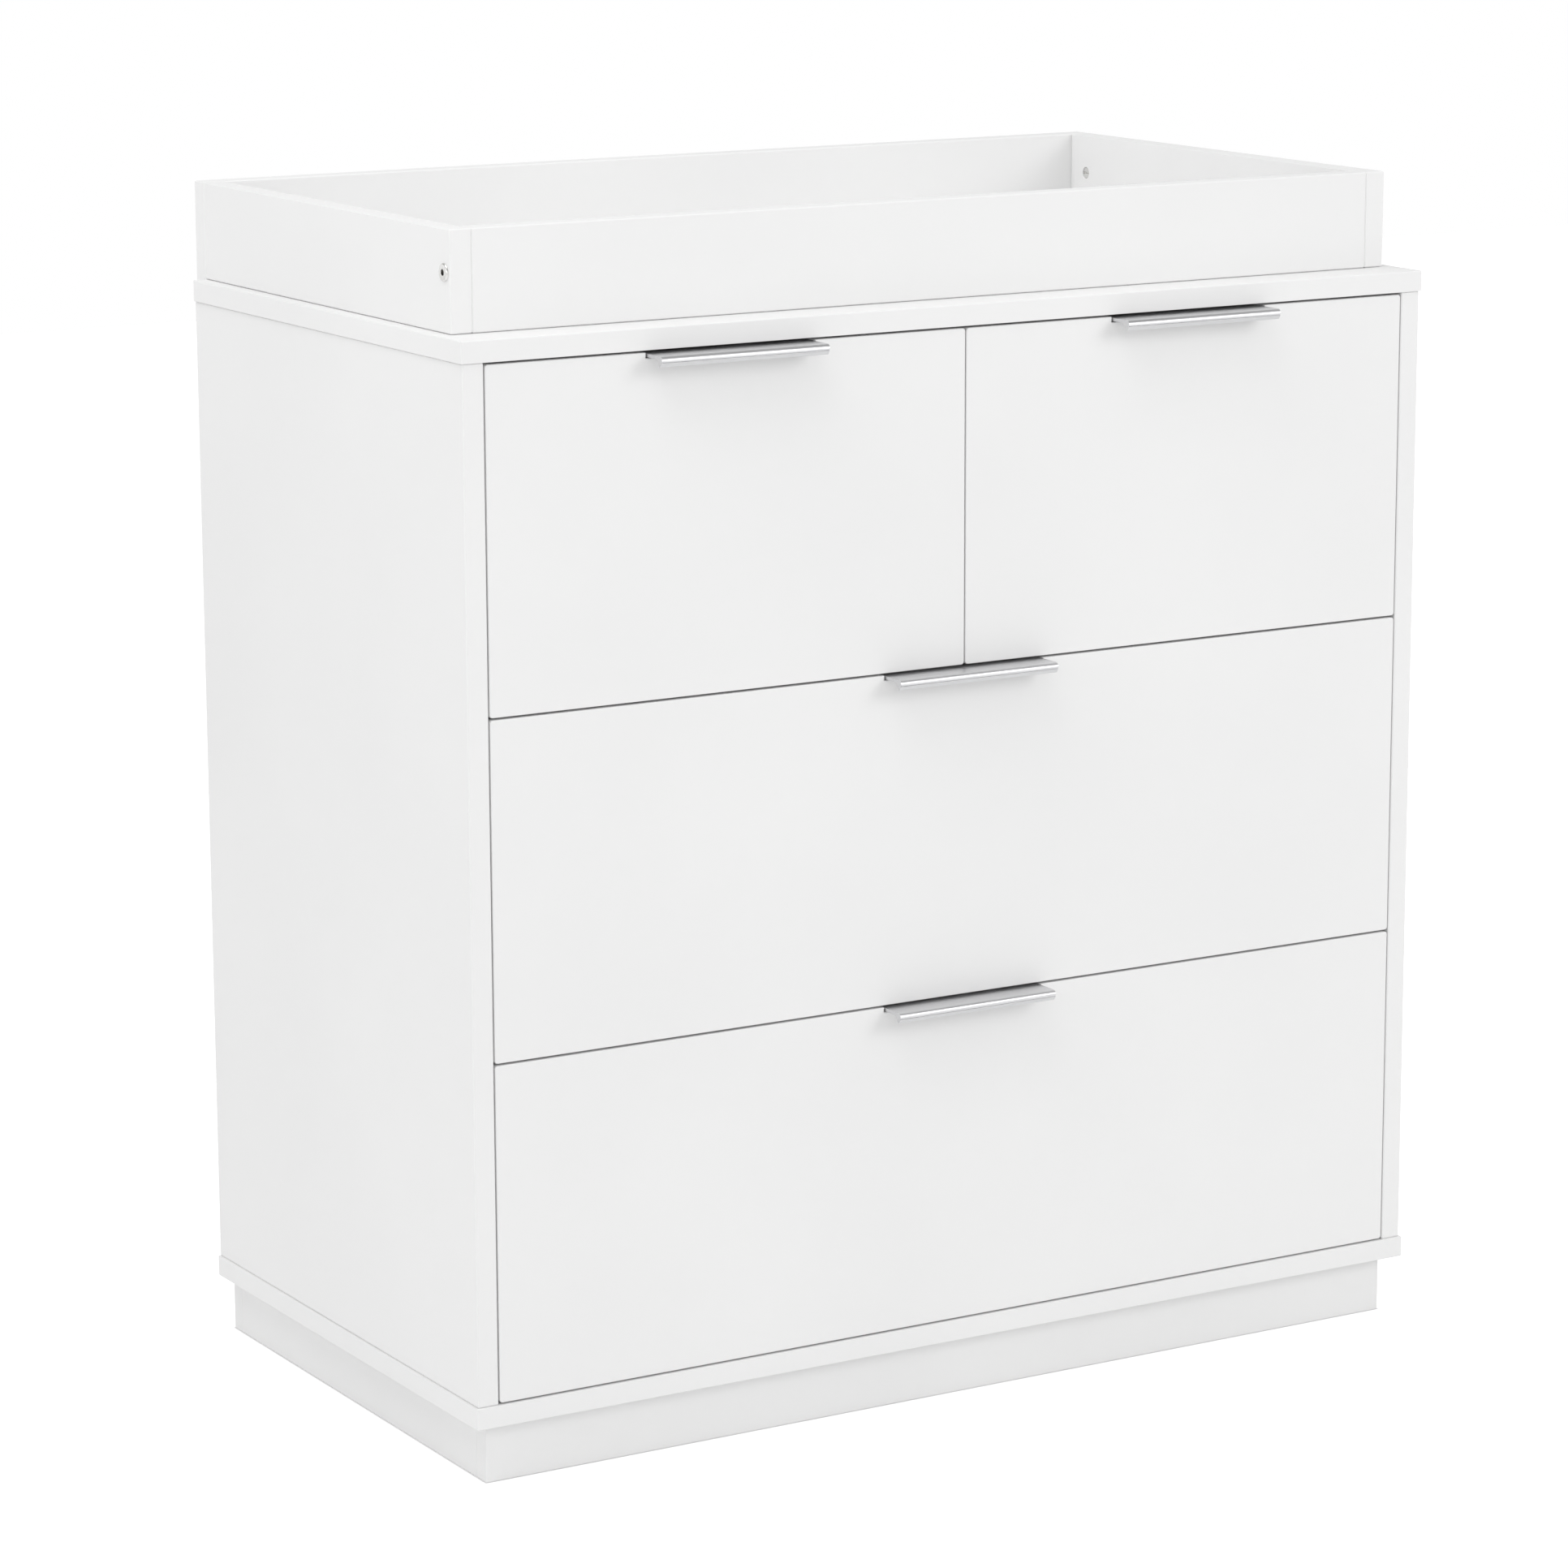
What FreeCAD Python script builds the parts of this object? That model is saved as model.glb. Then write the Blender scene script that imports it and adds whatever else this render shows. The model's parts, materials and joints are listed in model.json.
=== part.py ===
import FreeCAD, Part
import os
import re
import Sketcher

# Changing dresser: a four-drawer chest with a changing tray fixed on its top.
# +X is the user's right, -Y the front, +Z up. The origin is on the floor, under the middle
# of the whole piece. All sizes are millimetres.

doc = FreeCAD.newDocument("changing_dresser")
Vector = FreeCAD.Vector
Rotation = FreeCAD.Rotation

# ---------------------------------------------------------------- driving sizes

driving_sizes = [
    # carcass
    ("case_width", 920.0, "top panel, end to end"),
    ("case_depth", 492.0, "top panel, front to rear"),
    ("case_height", 925.5, "floor to the top panel's upper face"),
    ("top_thick", 18.0, "top panel"),
    ("base_thick", 18.0, "base panel"),
    ("side_thick", 18.5, "side panels"),
    ("top_overhang", 1.5, "top panel past the side panels, at the ends and in front"),
    ("base_overhang", 2.0, "base panel past the side panels, at the ends and in front"),
    ("plinth_height", 50.5, "floor to the base panel"),
    ("plinth_inset", 14.5, "plinth behind the base panel's edges"),
    ("plinth_thick", 16.0, "plinth boards"),
    ("block_size", 32.0, "square of the glue blocks in the plinth's corners"),
    ("block_drop", 6.0, "glue blocks end this far above the floor"),
    ("divider_thick", 16.0, "upright divider and its two rails"),
    ("divider_setback", 8.0, "divider and rails behind the drawer fronts"),
    ("rail_depth", 70.0, "rails, front to rear"),
    ("back_thick", 5.0, "back panel"),
    ("back_rebate", 8.0, "rebate in the side panels that holds the back panel"),
    ("edge_ease", 0.9, "eased edges of the lacquered boards"),
    ("fit", 0.1, "clearance round what is let into a hole or groove"),
    ("flats", 8, "sides of the small hidden fittings and of their holes"),
    # drawer fronts
    ("front_thick", 18.0, "drawer fronts"),
    ("side_gap", 1.6, "front to side panel"),
    ("middle_gap", 2.0, "between the two upper fronts"),
    ("row_gap", 2.0, "between rows"),
    ("top_gap", 2.5, "under the top panel"),
    ("bottom_gap", 3.5, "over the base panel"),
    ("front_corner", 2.5, "rounded corners of a front, seen square on"),
    ("front_ease", 0.8, "eased edge round a front's face"),
    # drawer boxes
    ("box_thick", 12.0, "drawer sides and back"),
    ("box_height", 190.0, "drawer sides"),
    ("box_rear_play", 27.5, "drawer sides to the back panel"),
    ("box_rise", 18.0, "drawer sides above the front's lower edge"),
    ("bottom_thick", 5.0, "drawer bottom"),
    ("bottom_rise", 10.0, "drawer bottom above the sides' lower edge"),
    ("groove_depth", 6.0, "groove for the drawer bottom"),
    # telescopic runners
    ("runner_end", 28.0, "runner from the drawer sides' rear end"),
    ("runner_overlap", 100.0, "of the two members when a drawer is fully open"),
    ("runner_height", 35.0, "cabinet member"),
    ("runner_wall", 1.2, "rolled steel of the members"),
    ("runner_setback", 12.0, "runner behind the front's rear face"),
    ("runner_rise", 70.0, "runner's centre above the drawer side's lower edge"),
    ("ball_radius", 2.4, "bearing balls"),
    ("race_play", 0.3, "race round a ball"),
    ("pocket_play", 0.2, "cage pocket round a ball"),
    ("cage_wall", 0.8, "ball cage strip"),
    ("cage_setback", 2.0, "cage web from the cabinet member's outer face"),
    ("cage_rim", 0.5, "cage flange past the balls"),
    ("member_play", 0.6, "cabinet member's race to the drawer member's web"),
    ("balls_in_row", 3, "balls in each race"),
    ("slot_length", 9.0, "screw slots in the members"),
    ("slot_height", 4.4, "screw slots in the members"),
    ("slot_end", 32.0, "first screw slot from a member's end"),
    # pulls
    ("pull_length", 153.0, "extruded edge pull"),
    ("pull_play", 0.8, "pull to each end of its notch"),
    ("pull_plate", 2.8, "plate thickness"),
    ("pull_reach", 24.0, "nose in front of the drawer front"),
    ("pull_nose", 8.6, "plate's upper face down to the lip's tip"),
    ("pull_nose_front", 4.9, "plate's upper face down to where the lip slants back"),
    ("pull_nose_round", 4.6, "outer bend from plate to nose"),
    ("pull_tip_back", 2.8, "front of the lip's tip behind the nose"),
    ("pull_tip_width", 1.8, "lip's tip"),
    ("pull_tip_round", 0.7, "edges of that tip"),
    ("pull_lip_root", 9.0, "finger side of the lip behind the nose, where it meets the plate"),
    ("pull_inner_round", 4.5, "bend from there to the plate"),
    ("pull_leg", 24.0, "leg down the rear face of the front"),
    ("pull_leg_thick", 2.0, "leg thickness"),
    ("pull_leg_round", 2.4, "bend from plate to leg"),
    ("pull_sink", 0.2, "plate below the front's upper edge"),
    ("notch_depth", 4.0, "notch in the front's upper edge"),
    ("pull_screw_spread", 96.0, "between a pull's two screws"),
    ("pull_screw_height", 8.0, "screws above the leg's lower edge"),
    ("pull_screw_radius", 1.75, "screw shank"),
    ("pull_screw_length", 14.0, "under the head"),
    ("pull_screw_head", 3.4, "head radius"),
    ("pull_screw_head_height", 2.0, "head height"),
    # changing tray
    ("tray_thick", 19.0, "all four tray boards"),
    ("tray_height", 81.5, "tray above the top panel"),
    ("tray_inset", 12.0, "tray from each end of the top panel"),
    ("tray_setback", 40.0, "tray behind the top panel's front edge"),
    ("tray_drop", 36.0, "back board below the top panel's upper face"),
    ("bolt_rise", 47.5, "bolt and nut centres above the top panel"),
    ("bolt_radius", 3.0, "bolt shank"),
    ("bolt_length", 50.0, "under the head"),
    ("bolt_head", 7.25, "head radius"),
    ("bolt_head_height", 1.8, "head height"),
    ("bolt_socket", 2.6, "hexagon socket, corner radius"),
    ("bolt_socket_depth", 1.4, "hexagon socket"),
    ("nut_radius", 5.2, "barrel nut"),
    ("nut_length", 15.0, "barrel nut"),
    ("nut_inset", 24.4, "barrel nut from the joint"),
    ("nut_slot", 1.3, "screwdriver slot"),
    ("tray_screw_radius", 2.2, "screws through the back board"),
    ("tray_screw_length", 44.0, "under the head"),
    ("tray_screw_head", 4.2, "head radius"),
    ("tray_screw_head_height", 1.8, "head height"),
    ("tray_screw_inner", 130.0, "inner screws from the middle"),
    ("tray_screw_outer", 390.0, "outer screws from the middle"),
    # cam fittings that hold the carcass together
    ("cam_radius", 7.5, "cam"),
    ("cam_depth", 12.5, "cam"),
    ("cam_inset", 34.0, "cam centre from the side panel's end"),
    ("cam_edge", 60.0, "cam centre from the side panel's front and rear edges"),
    ("cam_slot", 1.4, "screwdriver slot, wide and deep"),
    ("cam_slot_length", 9.0, "screwdriver slot"),
    ("pin_radius", 3.4, "cam's connecting pin"),
    ("pin_thread", 2.9, "its threaded end"),
    ("pin_grip", 11.0, "threaded into the top or base panel"),
]

# ---------------------------------------------------------------- sizes worked out from them

worked_out = [
    # whole piece
    ("half_width", "case_width / 2"),
    ("front_reach", "pull_reach - top_overhang"),
    ("overall_depth", "case_depth + front_reach + tray_thick + bolt_head_height"),
    ("front_y", "front_reach - overall_depth / 2"),
    ("rear_y", "front_y + case_depth"),
    ("case_front_y", "front_y + top_overhang"),
    ("side_depth", "case_depth - top_overhang"),
    ("side_x", "half_width - top_overhang"),
    ("inner_x", "side_x - side_thick"),
    ("inner_width", "2 * inner_x"),
    ("base_x", "side_x + base_overhang"),
    ("base_depth", "side_depth + base_overhang"),
    ("base_top_z", "plinth_height + base_thick"),
    ("top_under_z", "case_height - top_thick"),
    ("side_height", "top_under_z - base_top_z"),
    ("back_y", "rear_y - back_thick"),
    # plinth
    ("plinth_x", "base_x - plinth_inset"),
    ("plinth_front_y", "rear_y - base_depth + plinth_inset"),
    ("plinth_depth", "base_depth - plinth_inset"),
    ("plinth_side_depth", "plinth_depth - 2 * plinth_thick"),
    ("block_x", "plinth_x - plinth_thick"),
    ("block_height", "plinth_height - block_drop"),
    # drawer fronts
    ("front_rear_y", "case_front_y + front_thick"),
    ("front_height", "(side_height - top_gap - bottom_gap - 2 * row_gap) / 3"),
    ("wide_front", "inner_width - 2 * side_gap"),
    ("half_front", "(wide_front - middle_gap) / 2"),
    ("lower_z", "base_top_z + bottom_gap"),
    ("middle_z", "lower_z + front_height + row_gap"),
    ("upper_z", "middle_z + front_height + row_gap"),
    ("notch_width", "pull_length + 2 * pull_play"),
    ("notch_z", "front_height - notch_depth"),
    ("half_notch_left", "(half_front - notch_width) / 2"),
    ("half_notch_right", "half_notch_left + notch_width"),
    ("wide_notch_left", "(wide_front - notch_width) / 2"),
    ("wide_notch_right", "wide_notch_left + notch_width"),
    # divider between the upper drawers, and the rails that carry it
    ("divider_y", "front_rear_y + divider_setback"),
    ("divider_depth", "back_y - divider_y"),
    ("rail_z", "upper_z - (row_gap + divider_thick) / 2"),
    ("divider_z", "rail_z + divider_thick"),
    ("divider_height", "top_under_z - divider_z"),
    ("divider_x", "divider_thick / 2"),
    # drawer and runner lengths, front to rear
    ("box_length", "back_y - box_rear_play - front_rear_y"),
    ("runner_y", "front_rear_y + runner_setback"),
    ("runner_length", "box_length - runner_setback - runner_end"),
    ("runner_travel", "runner_length - runner_overlap"),
    # runner section: x across from the cabinet, z up from the runner's middle
    ("ball_cap", "0.92 * ball_radius"),
    ("ball_bevel", "0.45 * ball_radius"),
    ("race_radius", "ball_radius + race_play"),
    ("race_back", "race_radius + runner_wall"),
    ("cage_web", "cage_setback + cage_wall"),
    ("ball_setback", "cage_web + race_play + race_back"),
    ("ball_z", "runner_height / 2 - race_back"),
    ("race_corner", "race_radius * tan(22.5)"),
    ("back_corner", "race_back * tan(22.5)"),
    ("outer_lip_z", "ball_z + race_corner"),
    ("outer_flange_z", "outer_lip_z + runner_wall"),
    ("outer_corner_z", "ball_z + back_corner"),
    ("outer_race_z", "ball_z + race_radius"),
    ("outer_back_z", "ball_z + race_back"),
    ("inner_lip_z", "ball_z - race_corner"),
    ("inner_flange_z", "inner_lip_z - runner_wall"),
    ("inner_corner_z", "ball_z - back_corner"),
    ("inner_race_z", "ball_z - race_radius"),
    ("inner_back_z", "ball_z - race_back"),
    ("race_left", "ball_setback - race_radius"),
    ("race_right", "ball_setback + race_radius"),
    ("race_bend_left", "ball_setback - race_corner"),
    ("race_bend_right", "ball_setback + race_corner"),
    ("back_left", "ball_setback - race_back"),
    ("back_right", "ball_setback + race_back"),
    ("back_bend_left", "ball_setback - back_corner"),
    ("back_bend_right", "ball_setback + back_corner"),
    ("outer_join", "race_left - runner_wall * tan(22.5)"),
    ("inner_join", "race_right + runner_wall * tan(22.5)"),
    ("inner_web", "back_right + member_play"),
    ("runner_width", "inner_web + runner_wall"),
    ("cage_length", "runner_length - runner_travel / 2"),
    ("cage_start", "runner_length - cage_length"),
    ("cage_right", "ball_setback + ball_radius + cage_rim"),
    ("cage_low_z", "ball_z - cage_wall / 2"),
    ("cage_high_z", "ball_z + cage_wall / 2"),
    ("ball_pitch", "cage_length / balls_in_row"),
    ("pocket_size", "2 * (ball_radius + pocket_play)"),
    ("slot_spread", "runner_length - 2 * slot_end - slot_length"),
    # drawer boxes
    ("half_box", "inner_x - divider_x - 2 * runner_width"),
    ("wide_box", "inner_width - 2 * runner_width"),
    ("groove_height", "bottom_thick + fit"),
    ("box_back_z", "box_rise + bottom_rise + bottom_thick"),
    ("box_back_height", "box_height - bottom_rise - bottom_thick"),
    # pull section: y back from the nose, z up from the leg's lower edge
    ("pull_leg_front", "pull_reach + front_thick"),
    ("pull_leg_rear", "pull_leg_front + pull_leg_thick"),
    ("pull_under_z", "pull_leg - pull_plate"),
    ("pull_tip_z", "pull_leg - pull_nose"),
    ("pull_slant_z", "pull_leg - pull_nose_front"),
    ("pull_tip_rear", "pull_tip_back + pull_tip_width"),
    ("pull_y", "case_front_y - pull_reach"),
    ("pull_z", "front_height - pull_sink - pull_leg"),
    ("pull_screw_hole", "pull_screw_radius + fit / 2"),
    ("pull_screw_y", "front_rear_y + pull_leg_thick + pull_screw_head_height"),
    ("pull_pilot_depth", "pull_screw_length - pull_leg_thick + 1"),
    ("pull_screw_z", "pull_z + pull_screw_height"),
    # tray
    ("tray_x", "half_width - tray_inset"),
    ("tray_rail_x", "tray_x - tray_thick"),
    ("tray_front_y", "front_y + tray_setback"),
    ("tray_side_depth", "case_depth - tray_setback"),
    ("tray_back_z", "case_height - tray_drop"),
    ("tray_back_height", "tray_height + tray_drop"),
    ("tray_rear_y", "rear_y + tray_thick"),
    ("bolt_z", "case_height + bolt_rise"),
    ("bolt_hole", "bolt_radius + fit"),
    ("bolt_hole_depth", "bolt_length - tray_thick + 1"),
    ("nut_hole", "nut_radius + fit"),
    ("nut_hole_depth", "nut_length + fit"),
    ("tray_screw_hole", "tray_screw_radius + fit / 2"),
    ("tray_pilot_depth", "tray_screw_length - tray_thick + 1"),
    ("tray_screw_z", "case_height - top_thick / 2"),
    # cam fittings
    ("pin_x", "inner_x + side_thick / 2"),
    ("cam_hole", "cam_radius + fit"),
    ("cam_hole_depth", "cam_depth + fit"),
    ("pin_hole", "pin_radius + fit"),
    ("pin_thread_hole", "pin_thread + fit"),
    ("pin_grip_depth", "pin_grip + fit"),
    ("pin_start", "cam_radius / 4"),
    ("cam_front_y", "case_front_y + cam_edge"),
    ("cam_rear_y", "rear_y - cam_edge"),
    ("cam_low_z", "base_top_z + cam_inset"),
    ("cam_high_z", "top_under_z - cam_inset"),
]

sizes = doc.addObject("Spreadsheet::Sheet", "Sizes")
for row, (alias, amount, note) in enumerate(driving_sizes, start=1):
    sizes.set("A%d" % row, alias)
    sizes.set("B%d" % row, str(amount))
    sizes.set("C%d" % row, note)
    sizes.setAlias("B%d" % row, alias)

places = doc.addObject("Spreadsheet::Sheet", "Places")
sheet_of = {alias: "Sizes." for alias, amount, note in driving_sizes}


def formula(text):
    """Give each named size in a formula the sheet that holds it."""
    return re.sub(r"[a-z_]+", lambda word: sheet_of.get(word.group(), "") + word.group(), text)


for row, (alias, rule) in enumerate(worked_out, start=1):
    places.set("A%d" % row, alias)
    places.set("B%d" % row, "=" + formula(rule))
    places.setAlias("B%d" % row, alias)
sheet_of.update({alias: "Places." for alias, rule in worked_out})
doc.recompute()


def value(name):
    """The present value of a named size; "0" is zero."""
    if name == "0":
        return 0.0
    sheet = sizes if sheet_of[name] == "Sizes." else places
    return float(sheet.get(name))


# ---------------------------------------------------------------- ways to make a piece


def bind(item, **rules):
    """Tie an object's properties to formulas of the named sizes."""
    for name, rule in rules.items():
        item.setExpression(name, formula(rule))


def place(item, x="0", y="0", z="0"):
    """Tie an object's position to formulas."""
    for axis, rule in zip("xyz", (x, y, z)):
        item.setExpression(".Placement.Base." + axis, formula(rule))


def origin_item(body, role):
    """One of a body's own origin planes or axes."""
    return next(item for item in body.Origin.OriginFeatures if item.Role == role)


def sketch_on(body, role):
    """An empty sketch on one of the body's origin planes."""
    sketch = body.newObject("Sketcher::SketchObject", "outline")
    sketch.AttachmentSupport = [(origin_item(body, role), "")]
    sketch.MapMode = "FlatFace"
    return sketch


def outline(sketch, corners):
    """Close an outline through corners (across, up), which are named sizes."""
    points = [Vector(value(across), value(up), 0) for across, up in corners]
    for start, end in zip(points, points[1:] + points[:1]):
        sketch.addGeometry(Part.LineSegment(start, end), False)
    for number in range(len(corners)):
        following = (number + 1) % len(corners)
        sketch.addConstraint(Sketcher.Constraint("Coincident", number, 2, following, 1))
    for number, (across, up) in enumerate(corners):
        for kind, name, axis in (("DistanceX", across, -2), ("DistanceY", up, -1)):
            if name == "0":
                sketch.addConstraint(Sketcher.Constraint("PointOnObject", number, 1, axis))
            else:
                rule = Sketcher.Constraint(kind, -1, 1, number, 1, value(name))
                sketch.setExpression("Constraints[%d]" % sketch.addConstraint(rule), formula(name))


def padded(label, plane, corners, length, backward=False):
    """A body with one outline padded square to its plane."""
    body = doc.addObject("PartDesign::Body", label)
    sketch = sketch_on(body, plane)
    outline(sketch, corners)
    pad = body.newObject("PartDesign::Pad", "thickness")
    pad.Profile = sketch
    pad.Reversed = backward
    bind(pad, Length=length)
    return body


def ease_edges(body, kind, rule, chosen):
    """Fillet or chamfer the edges for which chosen(the edge's box) is true."""
    doc.recompute()
    base = body.Tip
    names = ["Edge%d" % n for n, edge in enumerate(base.Shape.Edges, start=1) if chosen(edge.BoundBox)]
    feature = body.newObject("PartDesign::" + kind, kind.lower())
    feature.Base = (base, names)
    bind(feature, **{"Radius" if kind == "Fillet" else "Size": rule})
    return feature


def cut_box(body, corner, extents):
    """Cut a groove or rebate: a box from its low corner, with its extents."""
    groove = body.newObject("PartDesign::SubtractiveBox", "groove")
    bind(groove, Length=extents[0], Width=extents[1], Height=extents[2])
    place(groove, *corner)
    return groove


toward = {
    "+x": Rotation(Vector(0, 0, 1), Vector(1, 0, 0)),
    "-x": Rotation(Vector(0, 0, 1), Vector(-1, 0, 0)),
    "+y": Rotation(Vector(0, 0, 1), Vector(0, 1, 0)),
    "-y": Rotation(Vector(0, 0, 1), Vector(0, -1, 0)),
    "+z": Rotation(),
    "-z": Rotation(Vector(1, 0, 0), 180),
}


def cut_hole(body, start, direction, radius, depth, shape="Prism"):
    """Cut a hole from a start point along a direction such as "+x"; shape "Cylinder" is round."""
    hole = body.newObject("PartDesign::Subtractive" + shape, "hole")
    bind(hole, Height=depth)
    if shape == "Prism":
        bind(hole, Circumradius=radius, Polygon="flats")
    else:
        bind(hole, Radius=radius)
    hole.Placement = FreeCAD.Placement(Vector(), toward[direction])
    place(hole, *start)
    return hole


def add_step(body, radius, start, length):
    """Add a few-sided step of a small fitting, along Z."""
    step = body.newObject("PartDesign::AdditivePrism", "step")
    bind(step, Circumradius=radius, Height=length, Polygon="flats")
    place(step, z=start)


def stepped(label, *steps):
    """A small fitting along Z with few sides: each step is (radius, start, length)."""
    body = doc.addObject("PartDesign::Body", label)
    for step in steps:
        add_step(body, *step)
    return body


def board(label, corner, extents, eased=True):
    """A rectangular board from its low corner, with eased edges where it shows."""
    body = doc.addObject("PartDesign::Body", label)
    block = body.newObject("PartDesign::AdditiveBox", "board")
    bind(block, Length=extents[0], Width=extents[1], Height=extents[2])
    if eased:
        ease_edges(body, "Chamfer", "edge_ease", lambda box: True)
    place(body, *corner)
    return body


def copies(label, settings):
    """One node of like pieces: each setting is (pattern piece, rotation, (x, y, z) formulas)."""
    links = []
    for pattern, rotation, spot in settings:
        link = doc.addObject("App::Link", label + "_piece")
        link.LinkedObject = pattern
        link.Placement = FreeCAD.Placement(Vector(), rotation)
        place(link, *spot)
        links.append(link)
    group = doc.addObject("Part::Compound", label)
    group.Links = links
    return group


nodes = []


def keep(item):
    """Put an object on the list of sub-parts that are written out."""
    nodes.append(item)
    return item


# ---------------------------------------------------------------- patterns for what repeats


def outer_member():
    """Cabinet member: a rolled channel whose flanges fold over the balls as races."""
    body = padded("cabinet_member_pattern", "XZ_Plane", [
        ("0", "0"),
        ("runner_wall", "0"),
        ("runner_wall", "outer_lip_z"),
        ("race_left", "outer_lip_z"),
        ("race_bend_left", "outer_race_z"),
        ("race_bend_right", "outer_race_z"),
        ("race_right", "outer_lip_z"),
        ("back_right", "outer_corner_z"),
        ("back_bend_right", "outer_back_z"),
        ("back_bend_left", "outer_back_z"),
        ("outer_join", "outer_flange_z"),
        ("0", "outer_flange_z"),
    ], "runner_length", backward=True)
    return finish_member(body, "0")


def inner_member():
    """Drawer member: the same channel turned inside out, with its races under the balls."""
    body = padded("drawer_member_pattern", "XZ_Plane", [
        ("inner_web", "0"),
        ("runner_width", "0"),
        ("runner_width", "inner_lip_z"),
        ("race_right", "inner_lip_z"),
        ("race_bend_right", "inner_race_z"),
        ("race_bend_left", "inner_race_z"),
        ("race_left", "inner_lip_z"),
        ("back_left", "inner_corner_z"),
        ("back_bend_left", "inner_back_z"),
        ("back_bend_right", "inner_back_z"),
        ("inner_join", "inner_flange_z"),
        ("inner_web", "inner_flange_z"),
    ], "runner_length", backward=True)
    return finish_member(body, "inner_web")


def finish_member(body, web_x):
    """Mirror the half section and slot the web for its two screws."""
    mirror_half(body)
    slot = cut_box(body, (web_x, "slot_end", "-slot_height / 2"),
                   ("runner_wall", "slot_length", "slot_height"))
    repeat_along_y(body, slot, "slot_spread", "2")
    return body


def mirror_half(body):
    """Mirror the upper half of a section to the lower half."""
    doc.recompute()
    mirror = body.newObject("PartDesign::Mirrored", "lower_half")
    mirror.Originals = [body.Tip]
    mirror.MirrorPlane = (origin_item(body, "XY_Plane"), [""])
    body.Tip = mirror


def repeat_along_y(body, feature, length, count):
    """Repeat a feature in a row along the piece."""
    row = body.newObject("PartDesign::LinearPattern", "row")
    row.Originals = [feature]
    row.Direction = (origin_item(body, "Y_Axis"), [""])
    bind(row, Length=length, Occurrences=count)
    body.Tip = row


def ball_cage():
    """Cage: a folded strip between the members, with a pocket for each ball."""
    body = padded("ball_cage_pattern", "XZ_Plane", [
        ("cage_setback", "0"),
        ("cage_web", "0"),
        ("cage_web", "cage_low_z"),
        ("cage_right", "cage_low_z"),
        ("cage_right", "cage_high_z"),
        ("cage_setback", "cage_high_z"),
    ], "cage_length", backward=True)
    mirror_half(body)
    corner = ("ball_setback - pocket_size / 2", "(ball_pitch - pocket_size) / 2", "-runner_height / 2")
    pocket = cut_box(body, corner, ("pocket_size", "pocket_size", "runner_height"))
    repeat_along_y(body, pocket, "cage_length - ball_pitch", "balls_in_row")
    return body


def ball():
    """Bearing ball with few faces: a square block whose ends are bevelled all round."""
    body = doc.addObject("PartDesign::Body", "ball_pattern")
    core = body.newObject("PartDesign::AdditivePrism", "core")
    core.Polygon = 4
    bind(core, Circumradius="ball_radius", Height="2 * ball_cap")
    place(core, z="-ball_cap")
    ease_edges(body, "Chamfer", "ball_bevel", lambda box: box.ZLength < 0.01)
    return body


def ball_rows(pattern):
    """The balls of one runner, in the upper and the lower race."""
    return copies("ball_rows_pattern", [
        (pattern, Rotation(), ("ball_setback", "(%d + 0.5) * ball_pitch" % number, side + "ball_z"))
        for number in range(int(value("balls_in_row")))
        for side in ("", "-")
    ])


def tray_bolt():
    """Furniture bolt: a round flat head with a hexagon socket, and its shank."""
    body = doc.addObject("PartDesign::Body", "tray_bolt_pattern")
    head = body.newObject("PartDesign::AdditiveCylinder", "head")
    bind(head, Radius="bolt_head", Height="bolt_head_height")
    add_step(body, "bolt_radius", "bolt_head_height", "bolt_length")
    socket = body.newObject("PartDesign::SubtractivePrism", "socket")
    socket.Polygon = 6
    bind(socket, Circumradius="bolt_socket", Height="bolt_socket_depth")
    return body


def barrel_nut():
    """Barrel nut: a slotted cross dowel with the bolt's hole through it along X."""
    body = doc.addObject("PartDesign::Body", "barrel_nut_pattern")
    barrel = body.newObject("PartDesign::AdditiveCylinder", "barrel")
    bind(barrel, Radius="nut_radius", Height="nut_length")
    cut_hole(body, ("-nut_radius", "0", "tray_thick / 2"), "+x", "bolt_hole", "2 * nut_radius")
    cut_box(body, ("-nut_radius", "-nut_slot / 2", "0"), ("2 * nut_radius", "nut_slot", "nut_slot"))
    return body


def cam_lock():
    """Cam: a slotted disc, bored from its rim to take the connecting pin."""
    body = stepped("cam_pattern", ("cam_radius", "0", "cam_depth"))
    cut_hole(body, ("0", "0", "side_thick / 2"), "+x", "pin_hole", "cam_radius")
    cut_box(body, ("-cam_slot_length / 2", "-cam_slot / 2", "0"), ("cam_slot_length", "cam_slot", "cam_slot"))
    return body


outer_pattern = outer_member()
inner_pattern = inner_member()
cage_pattern = ball_cage()
ball_pattern = ball_rows(ball())
pull_screw_pattern = stepped("pull_screw_pattern",
                             ("pull_screw_head", "0", "pull_screw_head_height"),
                             ("pull_screw_radius", "pull_screw_head_height", "pull_screw_length"))
tray_screw_pattern = stepped("tray_screw_pattern",
                             ("tray_screw_head", "0", "tray_screw_head_height"),
                             ("tray_screw_radius", "tray_screw_head_height", "tray_screw_length"))
bolt_pattern = tray_bolt()
nut_pattern = barrel_nut()
cam_pattern = cam_lock()
pin_pattern = stepped("cam_pin_pattern",
                      ("pin_radius", "pin_start", "cam_inset - pin_start"),
                      ("pin_thread", "cam_inset", "pin_grip"))

# ---------------------------------------------------------------- carcass


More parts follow.
